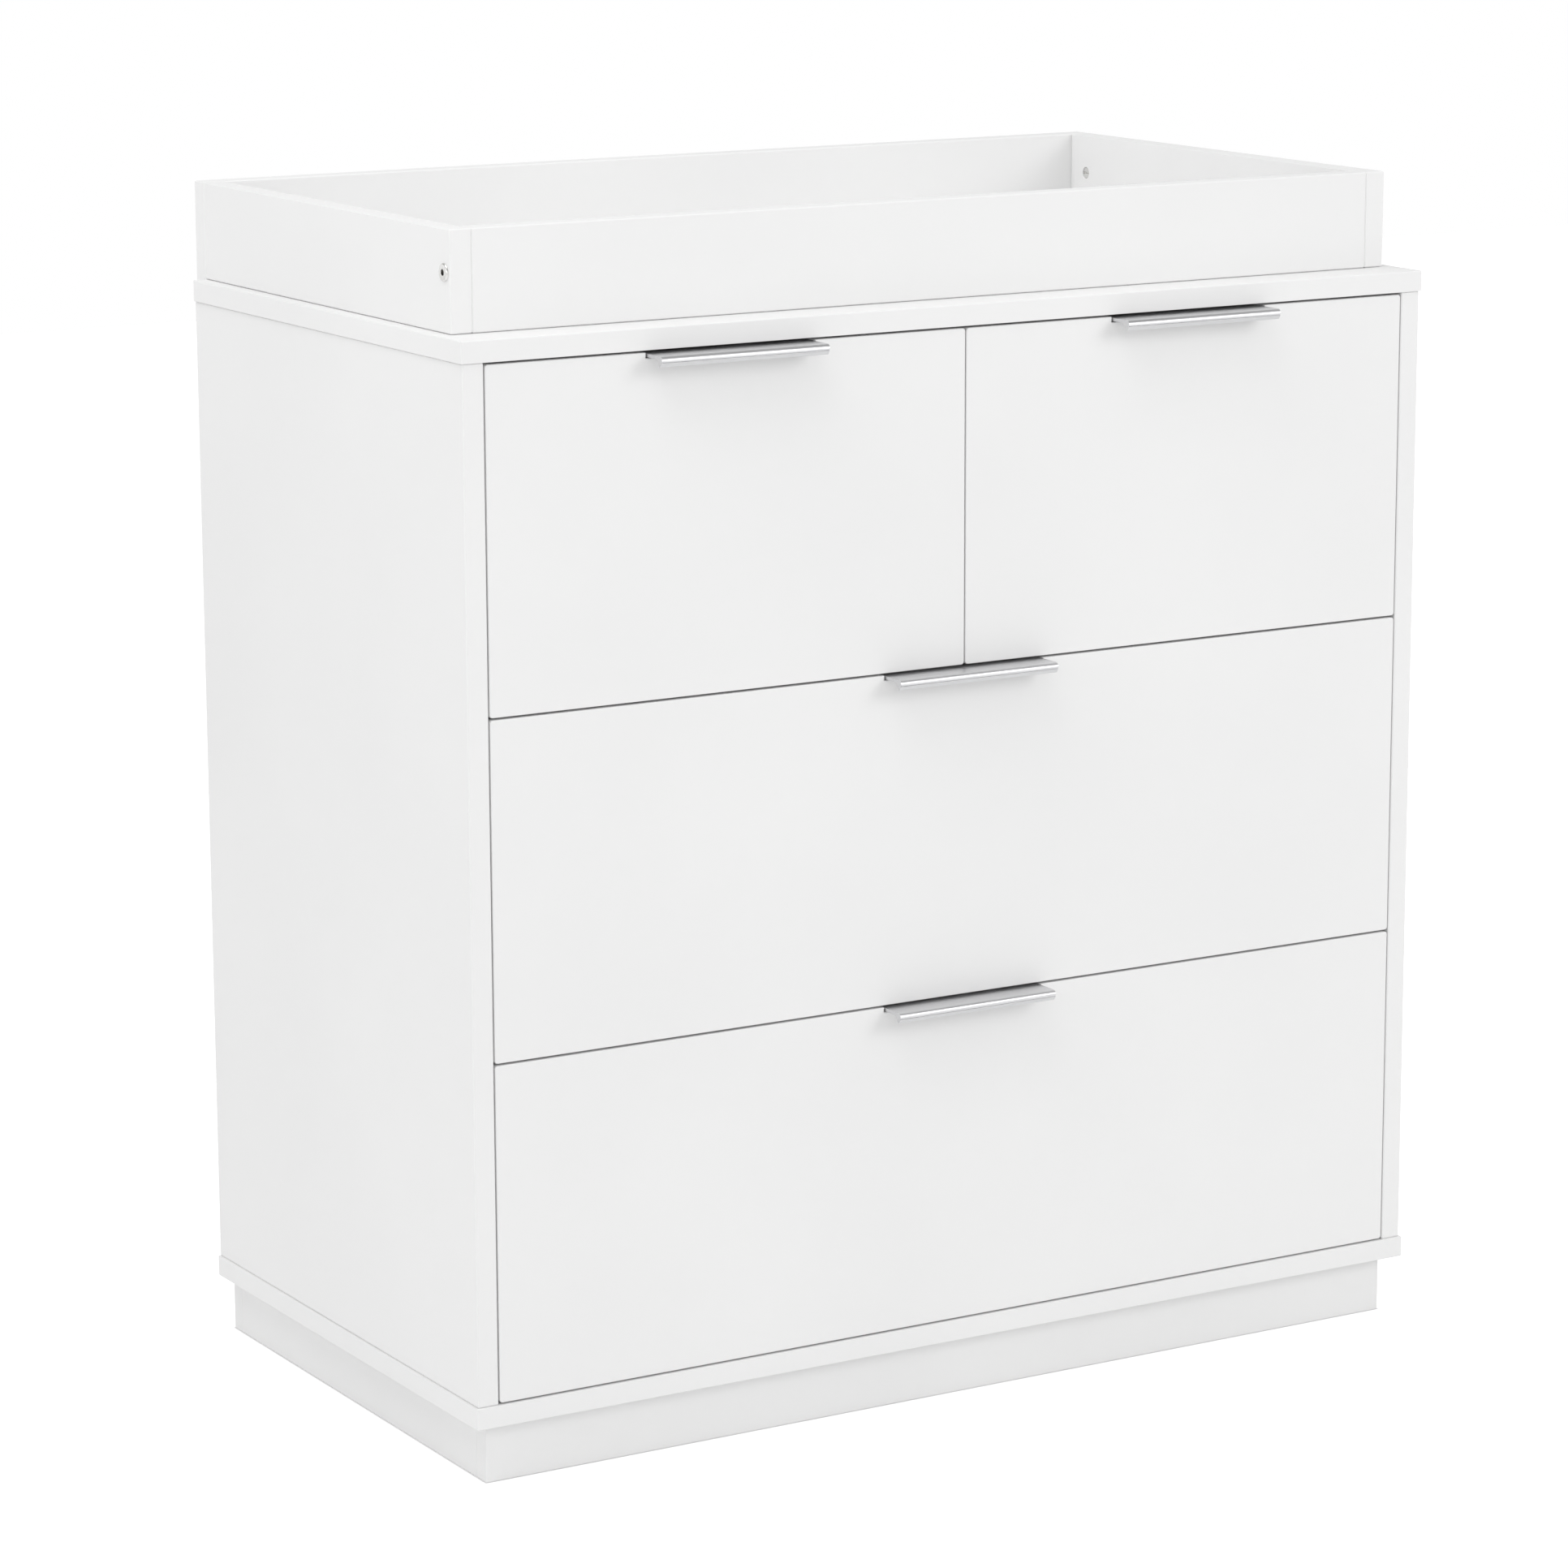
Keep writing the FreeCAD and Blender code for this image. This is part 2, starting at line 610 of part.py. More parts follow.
def side_panel(label, sign):
    """Side panel: rebated for the back panel, bored for four cams and their pins."""
    left = sign == "-"
    body = board(label, (("-side_x" if left else "inner_x"), "case_front_y", "base_top_z"),
                 ("side_thick", "side_depth", "side_height"))
    rebate_x = "side_thick - back_rebate" if left else "0"
    cut_box(body, (rebate_x, "side_depth - back_thick", "0"), ("back_rebate", "back_thick", "side_height"))
    inner_face = "side_thick" if left else "0"
    for y in ("cam_edge", "side_depth - cam_edge"):
        for z, end, way in (("cam_inset", "0", "+z"), ("side_height - cam_inset", "side_height", "-z")):
            cut_hole(body, (inner_face, y, z), "-x" if left else "+x", "cam_hole", "cam_hole_depth")
            cut_hole(body, ("side_thick / 2", y, end), way, "pin_hole", "cam_inset")
    return body


def bore_for_pins(body, start_z, direction):
    """Holes in the top or base panel for the threaded ends of the connecting pins."""
    for x in ("-pin_x", "pin_x"):
        for y in ("cam_front_y", "cam_rear_y"):
            spot = (x + " - (" + corner_x[body.Label] + ")", y + " - (" + corner_y[body.Label] + ")", start_z)
            cut_hole(body, spot, direction, "pin_thread_hole", "pin_grip_depth")


corner_x = {"top_panel": "-half_width", "base_panel": "-base_x"}
corner_y = {"top_panel": "front_y", "base_panel": "rear_y - base_depth"}

top_panel = keep(board("top_panel", ("-half_width", "front_y", "top_under_z"),
                       ("case_width", "case_depth", "top_thick")))
bore_for_pins(top_panel, "0", "+z")
base_panel = keep(board("base_panel", ("-base_x", "rear_y - base_depth", "plinth_height"),
                        ("2 * base_x", "base_depth", "base_thick")))
bore_for_pins(base_panel, "base_thick", "-z")

keep(side_panel("left_side_panel", "-"))
keep(side_panel("right_side_panel", ""))
keep(board("back_panel", ("-inner_x - back_rebate + fit", "back_y", "base_top_z"),
           ("inner_width + 2 * back_rebate - 2 * fit", "back_thick", "side_height"), eased=False))
keep(board("center_divider", ("-divider_x", "divider_y", "divider_z"),
           ("divider_thick", "divider_depth", "divider_height"), eased=False))
for label, y in (("front_divider_rail", "divider_y"), ("rear_divider_rail", "back_y - rail_depth")):
    keep(board(label, ("-inner_x", y, "rail_z"), ("inner_width", "rail_depth", "divider_thick"), eased=False))

keep(board("plinth_front", ("-plinth_x", "plinth_front_y", "0"),
           ("2 * plinth_x", "plinth_thick", "plinth_height")))
keep(board("plinth_back", ("-plinth_x", "rear_y - plinth_thick", "0"),
           ("2 * plinth_x", "plinth_thick", "plinth_height")))
for label, x in (("plinth_left", "-plinth_x"), ("plinth_right", "plinth_x - plinth_thick")):
    keep(board(label, (x, "plinth_front_y + plinth_thick", "0"),
               ("plinth_thick", "plinth_side_depth", "plinth_height")))

block_pattern = board("plinth_block_pattern", ("0", "0", "0"),
                      ("block_size", "block_size", "block_height"), eased=False)
keep(copies("plinth_corner_blocks", [
    (block_pattern, Rotation(), (x, y, "block_drop"))
    for x in ("-block_x", "block_x - block_size")
    for y in ("plinth_front_y + plinth_thick", "rear_y - plinth_thick - block_size")
]))

# Each cam's own X axis looks at the panel end that its pin crosses.
cam_turns = {
    ("-", "low"): Rotation(Vector(0, 0, -1), Vector(0, -1, 0), Vector(-1, 0, 0), "ZXY"),
    ("-", "high"): Rotation(Vector(0, 0, 1), Vector(0, 1, 0), Vector(-1, 0, 0), "ZXY"),
    ("", "low"): Rotation(Vector(0, 0, -1), Vector(0, 1, 0), Vector(1, 0, 0), "ZXY"),
    ("", "high"): Rotation(Vector(0, 0, 1), Vector(0, -1, 0), Vector(1, 0, 0), "ZXY"),
}
cam_spots = [(side, level, y) for side, level in cam_turns for y in ("cam_front_y", "cam_rear_y")]
keep(copies("case_cams", [
    (cam_pattern, cam_turns[side, level], (side + "inner_x", y, "cam_%s_z" % level))
    for side, level, y in cam_spots
]))
keep(copies("case_cam_pins", [
    (pin_pattern, toward["+z" if level == "high" else "-z"], (side + "pin_x", y, "cam_%s_z" % level))
    for side, level, y in cam_spots
]))

# ---------------------------------------------------------------- changing tray

tray_front = keep(board("tray_front", ("-tray_rail_x", "tray_front_y", "case_height"),
                        ("2 * tray_rail_x", "tray_thick", "tray_height")))
for start, way, nut_x in (("0", "+x", "nut_inset"),
                          ("2 * tray_rail_x", "-x", "2 * tray_rail_x - nut_inset")):
    cut_hole(tray_front, (start, "tray_thick / 2", "bolt_rise"), way, "bolt_hole", "bolt_hole_depth")
    cut_hole(tray_front, (nut_x, "tray_thick", "bolt_rise"), "-y", "nut_hole", "nut_hole_depth", "Cylinder")

for label, x, inner, way in (("tray_left", "-tray_x", "tray_thick", "-x"),
                             ("tray_right", "tray_rail_x", "0", "+x")):
    side = keep(board(label, (x, "tray_front_y", "case_height"),
                      ("tray_thick", "tray_side_depth", "tray_height")))
    cut_hole(side, ("0", "tray_thick / 2", "bolt_rise"), "+x", "bolt_hole", "tray_thick")
    cut_hole(side, ("tray_thick / 2", "tray_side_depth", "bolt_rise"), "-y", "bolt_hole", "bolt_hole_depth")
    cut_hole(side, (inner, "tray_side_depth - nut_inset", "bolt_rise"), way, "nut_hole", "nut_hole_depth",
             "Cylinder")

tray_back = keep(board("tray_back", ("-tray_x", "rear_y", "tray_back_z"),
                       ("2 * tray_x", "tray_thick", "tray_back_height")))
for x in ("tray_thick / 2", "2 * tray_x - tray_thick / 2"):
    cut_hole(tray_back, (x, "0", "tray_drop + bolt_rise"), "+y", "bolt_hole", "tray_thick")
tray_screw_xs = ("-tray_screw_outer", "-tray_screw_inner", "tray_screw_inner", "tray_screw_outer")
for x in tray_screw_xs:
    spot_z = "tray_drop - top_thick / 2"
    cut_hole(tray_back, ("tray_x + " + x, "0", spot_z), "+y", "tray_screw_hole", "tray_thick")
    cut_hole(top_panel, ("half_width + " + x, "case_depth", "top_thick / 2"), "-y",
             "tray_screw_hole", "tray_pilot_depth")

keep(copies("tray_bolts", [
    (bolt_pattern, toward["+x"], ("-tray_x - bolt_head_height", "tray_front_y + tray_thick / 2", "bolt_z")),
    (bolt_pattern, toward["-x"], ("tray_x + bolt_head_height", "tray_front_y + tray_thick / 2", "bolt_z")),
    (bolt_pattern, toward["-y"], ("-tray_x + tray_thick / 2", "tray_rear_y + bolt_head_height", "bolt_z")),
    (bolt_pattern, toward["-y"], ("tray_x - tray_thick / 2", "tray_rear_y + bolt_head_height", "bolt_z")),
]))
front_nut = Rotation(Vector(1, 0, 0), Vector(0, 0, 1), Vector(0, -1, 0), "ZXY")
left_nut = Rotation(Vector(0, 1, 0), Vector(0, 0, -1), Vector(-1, 0, 0), "ZXY")
right_nut = Rotation(Vector(0, 1, 0), Vector(0, 0, 1), Vector(1, 0, 0), "ZXY")
keep(copies("tray_barrel_nuts", [
    (nut_pattern, front_nut, ("-tray_rail_x + nut_inset", "tray_front_y + tray_thick", "bolt_z")),
    (nut_pattern, front_nut, ("tray_rail_x - nut_inset", "tray_front_y + tray_thick", "bolt_z")),
    (nut_pattern, left_nut, ("-tray_rail_x", "rear_y - nut_inset", "bolt_z")),
    (nut_pattern, right_nut, ("tray_rail_x", "rear_y - nut_inset", "bolt_z")),
]))
keep(copies("tray_fixing_screws", [
    (tray_screw_pattern, toward["-y"], (x, "tray_rear_y + tray_screw_head_height", "tray_screw_z"))
    for x in tray_screw_xs
]))

# ---------------------------------------------------------------- drawers


def drawer_front(label, kind, x, z):
    """Front: notched for its pull, with rounded corners and a groove for the bottom."""
    width = kind + "_front"
    box_width = kind + "_box"
    body = keep(padded(label, "XZ_Plane", [
        ("0", "0"),
        (width, "0"),
        (width, "front_height"),
        (kind + "_notch_right", "front_height"),
        (kind + "_notch_right", "notch_z"),
        (kind + "_notch_left", "notch_z"),
        (kind + "_notch_left", "front_height"),
        ("0", "front_height"),
    ], "front_thick", backward=True))
    right = value(width)
    upper = value("front_height")
    ease_edges(body, "Fillet", "front_corner", lambda box: box.YLength > 1
               and min(box.XMin, right - box.XMax) < 0.01 and min(box.ZMin, upper - box.ZMax) < 0.01)
    ease_edges(body, "Chamfer", "front_ease", lambda box: box.YMax < 0.01)
    groove_width = "%s - 2 * box_thick + 2 * groove_depth" % box_width
    cut_box(body, ("(%s - (%s)) / 2" % (width, groove_width) if kind == "wide" else
                   groove_offset(x), "front_thick - groove_depth", "box_rise + bottom_rise"),
            (groove_width, "groove_depth", "groove_height"))
    for side in ("-", "+"):
        cut_hole(body, ("%s / 2 %s pull_screw_spread / 2" % (width, side), "front_thick", "pull_screw_z"),
                 "-y", "pull_screw_hole", "pull_pilot_depth")
    place(body, x, "case_front_y", z)
    return body


def groove_offset(x):
    """Start of the groove in a half front, whose box is not centred on it."""
    start = "-inner_x + runner_width" if x.startswith("-") else "divider_x + runner_width"
    return "%s + box_thick - groove_depth - (%s)" % (start, x)


def pull(label, middle_x, z):
    """Extruded edge pull: plate, wedge-shaped lip and a leg behind the front with two screw holes."""
    body = keep(padded(label, "YZ_Plane", [
        ("pull_leg_front", "0"),
        ("pull_leg_rear", "0"),
        ("pull_leg_rear", "pull_leg"),
        ("0", "pull_leg"),
        ("0", "pull_slant_z"),
        ("pull_tip_back", "pull_tip_z"),
        ("pull_tip_rear", "pull_tip_z"),
        ("pull_lip_root", "pull_under_z"),
        ("pull_leg_front", "pull_under_z"),
    ], "pull_length"))

    def corner(y, z):
        return lambda box: (box.XLength > 1 and abs(box.YMin - value(y)) < 0.01
                            and abs(box.ZMin - value(z)) < 0.01)

    ease_edges(body, "Fillet", "pull_nose_round", corner("0", "pull_leg"))
    ease_edges(body, "Fillet", "pull_inner_round", corner("pull_lip_root", "pull_under_z"))
    for tip_y in ("pull_tip_back", "pull_tip_rear"):
        ease_edges(body, "Fillet", "pull_tip_round", corner(tip_y, "pull_tip_z"))
    ease_edges(body, "Fillet", "pull_leg_round", corner("pull_leg_rear", "pull_leg"))
    for side in ("-", "+"):
        start = ("pull_length / 2 %s pull_screw_spread / 2" % side, "pull_leg_front", "pull_screw_height")
        cut_hole(body, start, "+y", "pull_screw_hole", "pull_leg_thick")
    place(body, middle_x + " - pull_length / 2", "pull_y", z + " + pull_z")
    return body


def drawer_side(label, x, z, groove_x):
    """Drawer side with its groove for the bottom."""
    body = keep(board(label, (x, "front_rear_y", z + " + box_rise"),
                      ("box_thick", "box_length", "box_height"), eased=False))
    ease_edges(body, "Chamfer", "edge_ease", lambda box: box.YLength > 1 and box.ZMin > 1)
    cut_box(body, (groove_x, "0", "bottom_rise"), ("groove_depth", "box_length", "groove_height"))
    return body


def drawer(name, kind, front_x, box_x, z):
    """One drawer: front, box, pull and screws, its half of the runners, and their ball cages."""
    box_right = box_x + " + " + kind + "_box"
    inner_width_rule = kind + "_box - 2 * box_thick"
    drawer_front(name + "_front", kind, front_x, z)
    drawer_side(name + "_left_side", box_x, z, "box_thick - groove_depth")
    drawer_side(name + "_right_side", box_right + " - box_thick", z, "0")
    keep(board(name + "_back", (box_x + " + box_thick", "front_rear_y + box_length - box_thick",
                                z + " + box_back_z"),
               (inner_width_rule, "box_thick", "box_back_height"), eased=False))
    keep(board(name + "_bottom", (box_x + " + box_thick - groove_depth + fit",
                                  "front_rear_y - groove_depth + fit", z + " + box_rise + bottom_rise"),
               (inner_width_rule + " + 2 * groove_depth - 2 * fit",
                "box_length + groove_depth - fit", "bottom_thick"), eased=False))
    middle_x = front_x + " + " + kind + "_front / 2"
    pull(name + "_pull", middle_x, z)
    keep(copies(name + "_pull_screws", [
        (pull_screw_pattern, toward["-y"],
         ("%s %s pull_screw_spread / 2" % (middle_x, side), "pull_screw_y", z + " + pull_screw_z"))
        for side in ("-", "+")
    ]))
    ends = runner_ends(box_x, box_right, z)
    keep(copies(name + "_runners", [(inner_pattern, turn, spot) for turn, spot in ends]))
    keep(copies(name + "_ball_cages", [
        (pattern, turn, (spot[0], spot[1] + start, spot[2]))
        for turn, spot in ends
        for pattern, start in ((cage_pattern, " + cage_start"), (ball_pattern, " + cage_start"))
    ]))
    return ends


def runner_ends(box_x, box_right, z):
    """Where a drawer's two runners start, with the right one turned over to face the left one."""
    height = z + " + box_rise + runner_rise"
    return [
        (Rotation(), (box_x + " - runner_width", "runner_y", height)),
        (Rotation(Vector(0, 1, 0), 180), (box_right + " + runner_width", "runner_y", height)),
    ]


wide_start = "-inner_x + side_gap"
wide_box_start = "-inner_x + runner_width"
cabinet_ends = [
    *drawer("upper_left_drawer", "half", wide_start, wide_box_start, "upper_z"),
    *drawer("upper_right_drawer", "half", "middle_gap / 2", "divider_x + runner_width", "upper_z"),
    *drawer("middle_drawer", "wide", wide_start, wide_box_start, "middle_z"),
    *drawer("lower_drawer", "wide", wide_start, wide_box_start, "lower_z"),
]
keep(copies("cabinet_runners", [(outer_pattern, turn, spot) for turn, spot in cabinet_ends]))

# ---------------------------------------------------------------- check and write

doc.recompute()
for item in doc.Objects:
    if "Invalid" in item.State or "Error" in item.State:
        raise RuntimeError("%s failed: %s" % (item.Label, item.State))
    if item.TypeId.startswith("PartDesign::Subtractive"):
        if item.BaseFeature.Shape.Volume - item.Shape.Volume < 0.01:
            raise RuntimeError("%s cuts nothing" % item.Label)
for node in nodes:
    if node.Shape.isNull() or not node.Shape.isValid():
        raise RuntimeError("%s has no valid shape" % node.Label)

os.makedirs("parts", exist_ok=True)
for node in nodes:
    node.Shape.exportStep("parts/%s.step" % node.Label)
print("%d sub-parts written" % len(nodes))
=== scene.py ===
import json
import math

import bmesh
import bpy
import numpy as np
from mathutils import Matrix, Vector


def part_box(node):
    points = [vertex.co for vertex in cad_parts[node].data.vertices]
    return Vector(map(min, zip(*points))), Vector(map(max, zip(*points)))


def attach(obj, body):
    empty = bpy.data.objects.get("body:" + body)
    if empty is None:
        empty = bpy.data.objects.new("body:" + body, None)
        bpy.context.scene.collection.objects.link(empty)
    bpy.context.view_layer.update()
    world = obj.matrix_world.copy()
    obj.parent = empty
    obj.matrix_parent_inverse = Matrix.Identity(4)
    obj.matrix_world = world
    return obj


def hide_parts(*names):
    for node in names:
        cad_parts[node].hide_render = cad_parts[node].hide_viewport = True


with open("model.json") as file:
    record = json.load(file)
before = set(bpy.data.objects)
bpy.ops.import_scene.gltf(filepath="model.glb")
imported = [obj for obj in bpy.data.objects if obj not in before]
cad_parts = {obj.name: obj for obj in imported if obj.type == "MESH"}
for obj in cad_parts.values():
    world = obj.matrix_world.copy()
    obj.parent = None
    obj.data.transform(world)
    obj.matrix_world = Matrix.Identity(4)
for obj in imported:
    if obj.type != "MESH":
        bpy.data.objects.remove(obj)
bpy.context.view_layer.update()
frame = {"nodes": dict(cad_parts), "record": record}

# Looks of a white changing dresser. Metres, +X to the user's right, -Y the front, +Z up.

mm = 0.001
drawers = ["upper_left_drawer", "upper_right_drawer", "middle_drawer", "lower_drawer"]


# materials: every one is a small procedural node tree on Object coordinates

def newMaterial(name, rough, metallic=0.0):
    material = bpy.data.materials.new(name)
    material.use_nodes = True
    tree = material.node_tree
    shader = tree.nodes["Principled BSDF"]
    shader.inputs["Roughness"].default_value = rough
    shader.inputs["Metallic"].default_value = metallic
    place = tree.nodes.new("ShaderNodeTexCoord")
    return material, tree, shader, place.outputs["Object"]


def stretched(tree, coords, factors):
    # the pattern's own axes: a large factor makes it short along that axis
    mapping = tree.nodes.new("ShaderNodeMapping")
    mapping.inputs["Scale"].default_value = factors
    tree.links.new(coords, mapping.inputs["Vector"])
    return mapping.outputs["Vector"]


def noise(tree, coords, scale, detail=2.0, roughness=0.5):
    # detail is the number of finer octaves, roughness how much each of them weighs
    node = tree.nodes.new("ShaderNodeTexNoise")
    node.inputs["Scale"].default_value = scale
    node.inputs["Detail"].default_value = detail
    node.inputs["Roughness"].default_value = roughness
    tree.links.new(coords, node.inputs["Vector"])
    return node.outputs["Fac"]


def ramp(tree, factor, stops):
    # colour by factor: stops are (position, (r, g, b))
    node = tree.nodes.new("ShaderNodeValToRGB")
    elements = node.color_ramp.elements
    while len(elements) < len(stops):
        elements.new(0.5)
    for element, (position, colour) in zip(elements, stops):
        element.position = position
        element.color = (*colour, 1.0)
    tree.links.new(factor, node.inputs["Fac"])
    return node.outputs["Color"]


usualNoise = (0.3, 0.7)    # nearly all of a noise's values lie between these


def spread(tree, factor, low, high):
    # the noise's usual span widened to low to high
    node = tree.nodes.new("ShaderNodeMapRange")
    node.inputs["From Min"].default_value, node.inputs["From Max"].default_value = usualNoise
    node.inputs["To Min"].default_value = low
    node.inputs["To Max"].default_value = high
    tree.links.new(factor, node.inputs["Value"])
    return node.outputs["Result"]


def bump(tree, shader, height, distance, strength=1.0, under=None):
    # distance in metres; under is a coarser bump that this one rides on
    node = tree.nodes.new("ShaderNodeBump")
    node.inputs["Distance"].default_value = distance
    node.inputs["Strength"].default_value = strength
    tree.links.new(height, node.inputs["Height"])
    if under is not None:
        tree.links.new(under, node.inputs["Normal"])
    tree.links.new(node.outputs["Normal"], shader.inputs["Normal"])
    return node.outputs["Normal"]


lacquerSettings = {
    "light": (0.862, 0.862, 0.860),
    "dark": (0.842, 0.842, 0.841),
    "rough": (0.36, 0.46),
    "cloudScale": 3.5,      # slow drift of the tone, waves per metre
    "patchScale": 9.0,      # and of the gloss
    "peelScale": 420.0,     # orange peel
    "peelHeight": 0.00003,
    "fibreScale": 2600.0,   # fine tooth of the primed board below the lacquer
    "fibreHeight": 0.000006,
    "bumpStrength": 0.5,
    "specular": 0.45,
    "coat": 0.12,
    "coatRough": 0.25,
}


def whiteLacquer(settings):
    material, tree, shader, coords = newMaterial("whiteLacquer", settings["rough"][0])
    cloud = noise(tree, coords, settings["cloudScale"], 3.0)
    shade = ramp(tree, cloud, [(0.35, settings["dark"]), (0.65, settings["light"])])
    tree.links.new(shade, shader.inputs["Base Color"])
    gloss = noise(tree, coords, settings["patchScale"], 4.0)
    tree.links.new(spread(tree, gloss, *settings["rough"]), shader.inputs["Roughness"])
    strength = settings["bumpStrength"]
    ripples = noise(tree, coords, settings["peelScale"], 1.0)
    peel = bump(tree, shader, ripples, settings["peelHeight"], strength)
    tooth = noise(tree, coords, settings["fibreScale"])
    bump(tree, shader, tooth, settings["fibreHeight"], strength, peel)
    shader.inputs["Specular IOR Level"].default_value = settings["specular"]
    shader.inputs["Coat Weight"].default_value = settings["coat"]
    shader.inputs["Coat Roughness"].default_value = settings["coatRough"]
    return material


foilSettings = {
    "light": (0.83, 0.83, 0.825),
    "dark": (0.80, 0.80, 0.795),
    "grain": (6.0, 6.0, 260.0),   # printed foil, its faint grain lying level
    "grainHeight": 0.00002,
    "rough": (0.50, 0.62),
}
melamineSettings = {**foilSettings, "light": (0.80, 0.80, 0.79), "dark": (0.77, 0.77, 0.76)}


def foil(name, settings):
    material, tree, shader, coords = newMaterial(name, settings["rough"][0])
    grain = noise(tree, stretched(tree, coords, settings["grain"]), 1.0, 5.0, 0.6)
    shade = ramp(tree, grain, [(0.3, settings["dark"]), (0.7, settings["light"])])
    tree.links.new(shade, shader.inputs["Base Color"])
    tree.links.new(spread(tree, grain, *settings["rough"]), shader.inputs["Roughness"])
    bump(tree, shader, grain, settings["grainHeight"], 0.6)
    return material


hardboardSettings = {
    "light": (0.80, 0.80, 0.79),
    "dark": (0.76, 0.76, 0.75),
    "fleckScale": 190.0,
    "fleckHeight": 0.00008,
    "patchScale": 40.0,
    "rough": (0.55, 0.70),
}


def hardboard(settings):
    material, tree, shader, coords = newMaterial("paintedHardboard", settings["rough"][0])
    fleck = noise(tree, coords, settings["fleckScale"], 6.0, 0.7)
    shade = ramp(tree, fleck, [(0.3, settings["dark"]), (0.7, settings["light"])])
    tree.links.new(shade, shader.inputs["Base Color"])
    gloss = noise(tree, coords, settings["patchScale"])
    tree.links.new(spread(tree, gloss, *settings["rough"]), shader.inputs["Roughness"])
    bump(tree, shader, fleck, settings["fleckHeight"], 0.6)
    return material


timberSettings = {
    "early": (0.72, 0.56, 0.36),
    "late": (0.52, 0.36, 0.20),
    "ringScale": 130.0,
    "wander": 3.0,           # how far the rings stray
    "alongGrain": 0.08,      # pattern stretched along the block
    "ringHeight": 0.0001,
    "rough": 0.65,
}


def softwood(settings):
    material, tree, shader, coords = newMaterial("bareSoftwood", settings["rough"])
    wave = tree.nodes.new("ShaderNodeTexWave")
    wave.wave_type = "RINGS"
    wave.rings_direction = "Z"
    wave.inputs["Scale"].default_value = settings["ringScale"]
    wave.inputs["Distortion"].default_value = settings["wander"]
    wave.inputs["Detail"].default_value = 3.0
    lengthwise = stretched(tree, coords, (1.0, 1.0, settings["alongGrain"]))
    tree.links.new(lengthwise, wave.inputs["Vector"])
    shade = ramp(tree, wave.outputs["Fac"], [(0.1, settings["early"]), (0.9, settings["late"])])
    tree.links.new(shade, shader.inputs["Base Color"])
    bump(tree, shader, wave.outputs["Fac"], settings["ringHeight"], 0.5)
    return material


aluminiumSettings = {
    "light": (0.78, 0.78, 0.79),
    "dark": (0.66, 0.66, 0.67),
    "rough": (0.30, 0.40),
    "brush": (8.0, 2600.0, 2600.0),   # drawn along the pull
    "brushHeight": 0.000015,
}


def brushedAluminium(settings):
    material, tree, shader, coords = newMaterial("satinAluminium", settings["rough"][0], 1.0)
    streak = noise(tree, stretched(tree, coords, settings["brush"]), 1.0, 3.0, 0.6)
    shade = ramp(tree, streak, [(0.3, settings["dark"]), (0.7, settings["light"])])
    tree.links.new(shade, shader.inputs["Base Color"])
    tree.links.new(spread(tree, streak, *settings["rough"]), shader.inputs["Roughness"])
    bump(tree, shader, streak, settings["brushHeight"], 0.6)
    return material


platedSettings = {
    "runnerSteel": {
        "light": (0.62, 0.63, 0.64), "dark": (0.50, 0.51, 0.53),
        "rough": (0.28, 0.45), "scale": 60.0,
    },
    "bearingSteel": {
        "light": (0.75, 0.75, 0.76), "dark": (0.62, 0.62, 0.63),
        "rough": (0.12, 0.22), "scale": 300.0,
    },
    "zincPlate": {
        "light": (0.66, 0.67, 0.68), "dark": (0.52, 0.53, 0.55),
        "rough": (0.25, 0.45), "scale": 220.0,
    },
    "nickelPlate": {
        "light": (0.88, 0.875, 0.86), "dark": (0.78, 0.775, 0.76),
        "rough": (0.14, 0.26), "scale": 260.0,
    },
}
castTexture = {"finer": 12, "height": 0.00001}    # against the spangle's scale, and in metres


def platedSteel(name, settings):
    # plated steel: spangled tone and gloss, with a faint cast texture
    material, tree, shader, coords = newMaterial(name, settings["rough"][0], 1.0)
    spangle = noise(tree, coords, settings["scale"], 4.0, 0.65)
    shade = ramp(tree, spangle, [(0.35, settings["dark"]), (0.65, settings["light"])])
    tree.links.new(shade, shader.inputs["Base Color"])
    tree.links.new(spread(tree, spangle, *settings["rough"]), shader.inputs["Roughness"])
    cast = noise(tree, coords, settings["scale"] * castTexture["finer"])
    bump(tree, shader, cast, castTexture["height"], 0.5)
    return material


materials = {
    "white_lacquer": whiteLacquer(lacquerSettings),
    "white_board": foil("whiteFoil", foilSettings),
    "inner_board": foil("whiteMelamine", melamineSettings),
    "drawer_bottom": hardboard(hardboardSettings),
    "timber_blocks": softwood(timberSettings),
    "satin_aluminium": brushedAluminium(aluminiumSettings),
    "runner_steel": platedSteel("runnerSteel", platedSettings["runnerSteel"]),
    "bearing_steel": platedSteel("bearingSteel", platedSettings["bearingSteel"]),
    "zinc_fittings": platedSteel("zincPlate", platedSettings["zincPlate"]),
    "nickel_fittings": platedSteel("nickelPlate", platedSettings["nickelPlate"]),
}
slotOf = {part["node"]: part["material_slot"] for part in frame["record"]["subparts"]}
bodies = frame["record"]["behaviour"]["bodies"]
bodyOf = {node: body for body, nodes in bodies.items() for node in nodes}
for node, piece in frame["nodes"].items():
    for materialSlot in piece.material_slots:
        materialSlot.material = materials[slotOf[node]]
print("materials:", len(materials), "finishes on", len(frame["nodes"]), "CAD nodes")


# surfaces: whole arrays of points, then one mesh

meshSettings = {"merge": 0.002 * mm, "speck": 0.001 * mm, "sharpAngle": 50}    # degrees


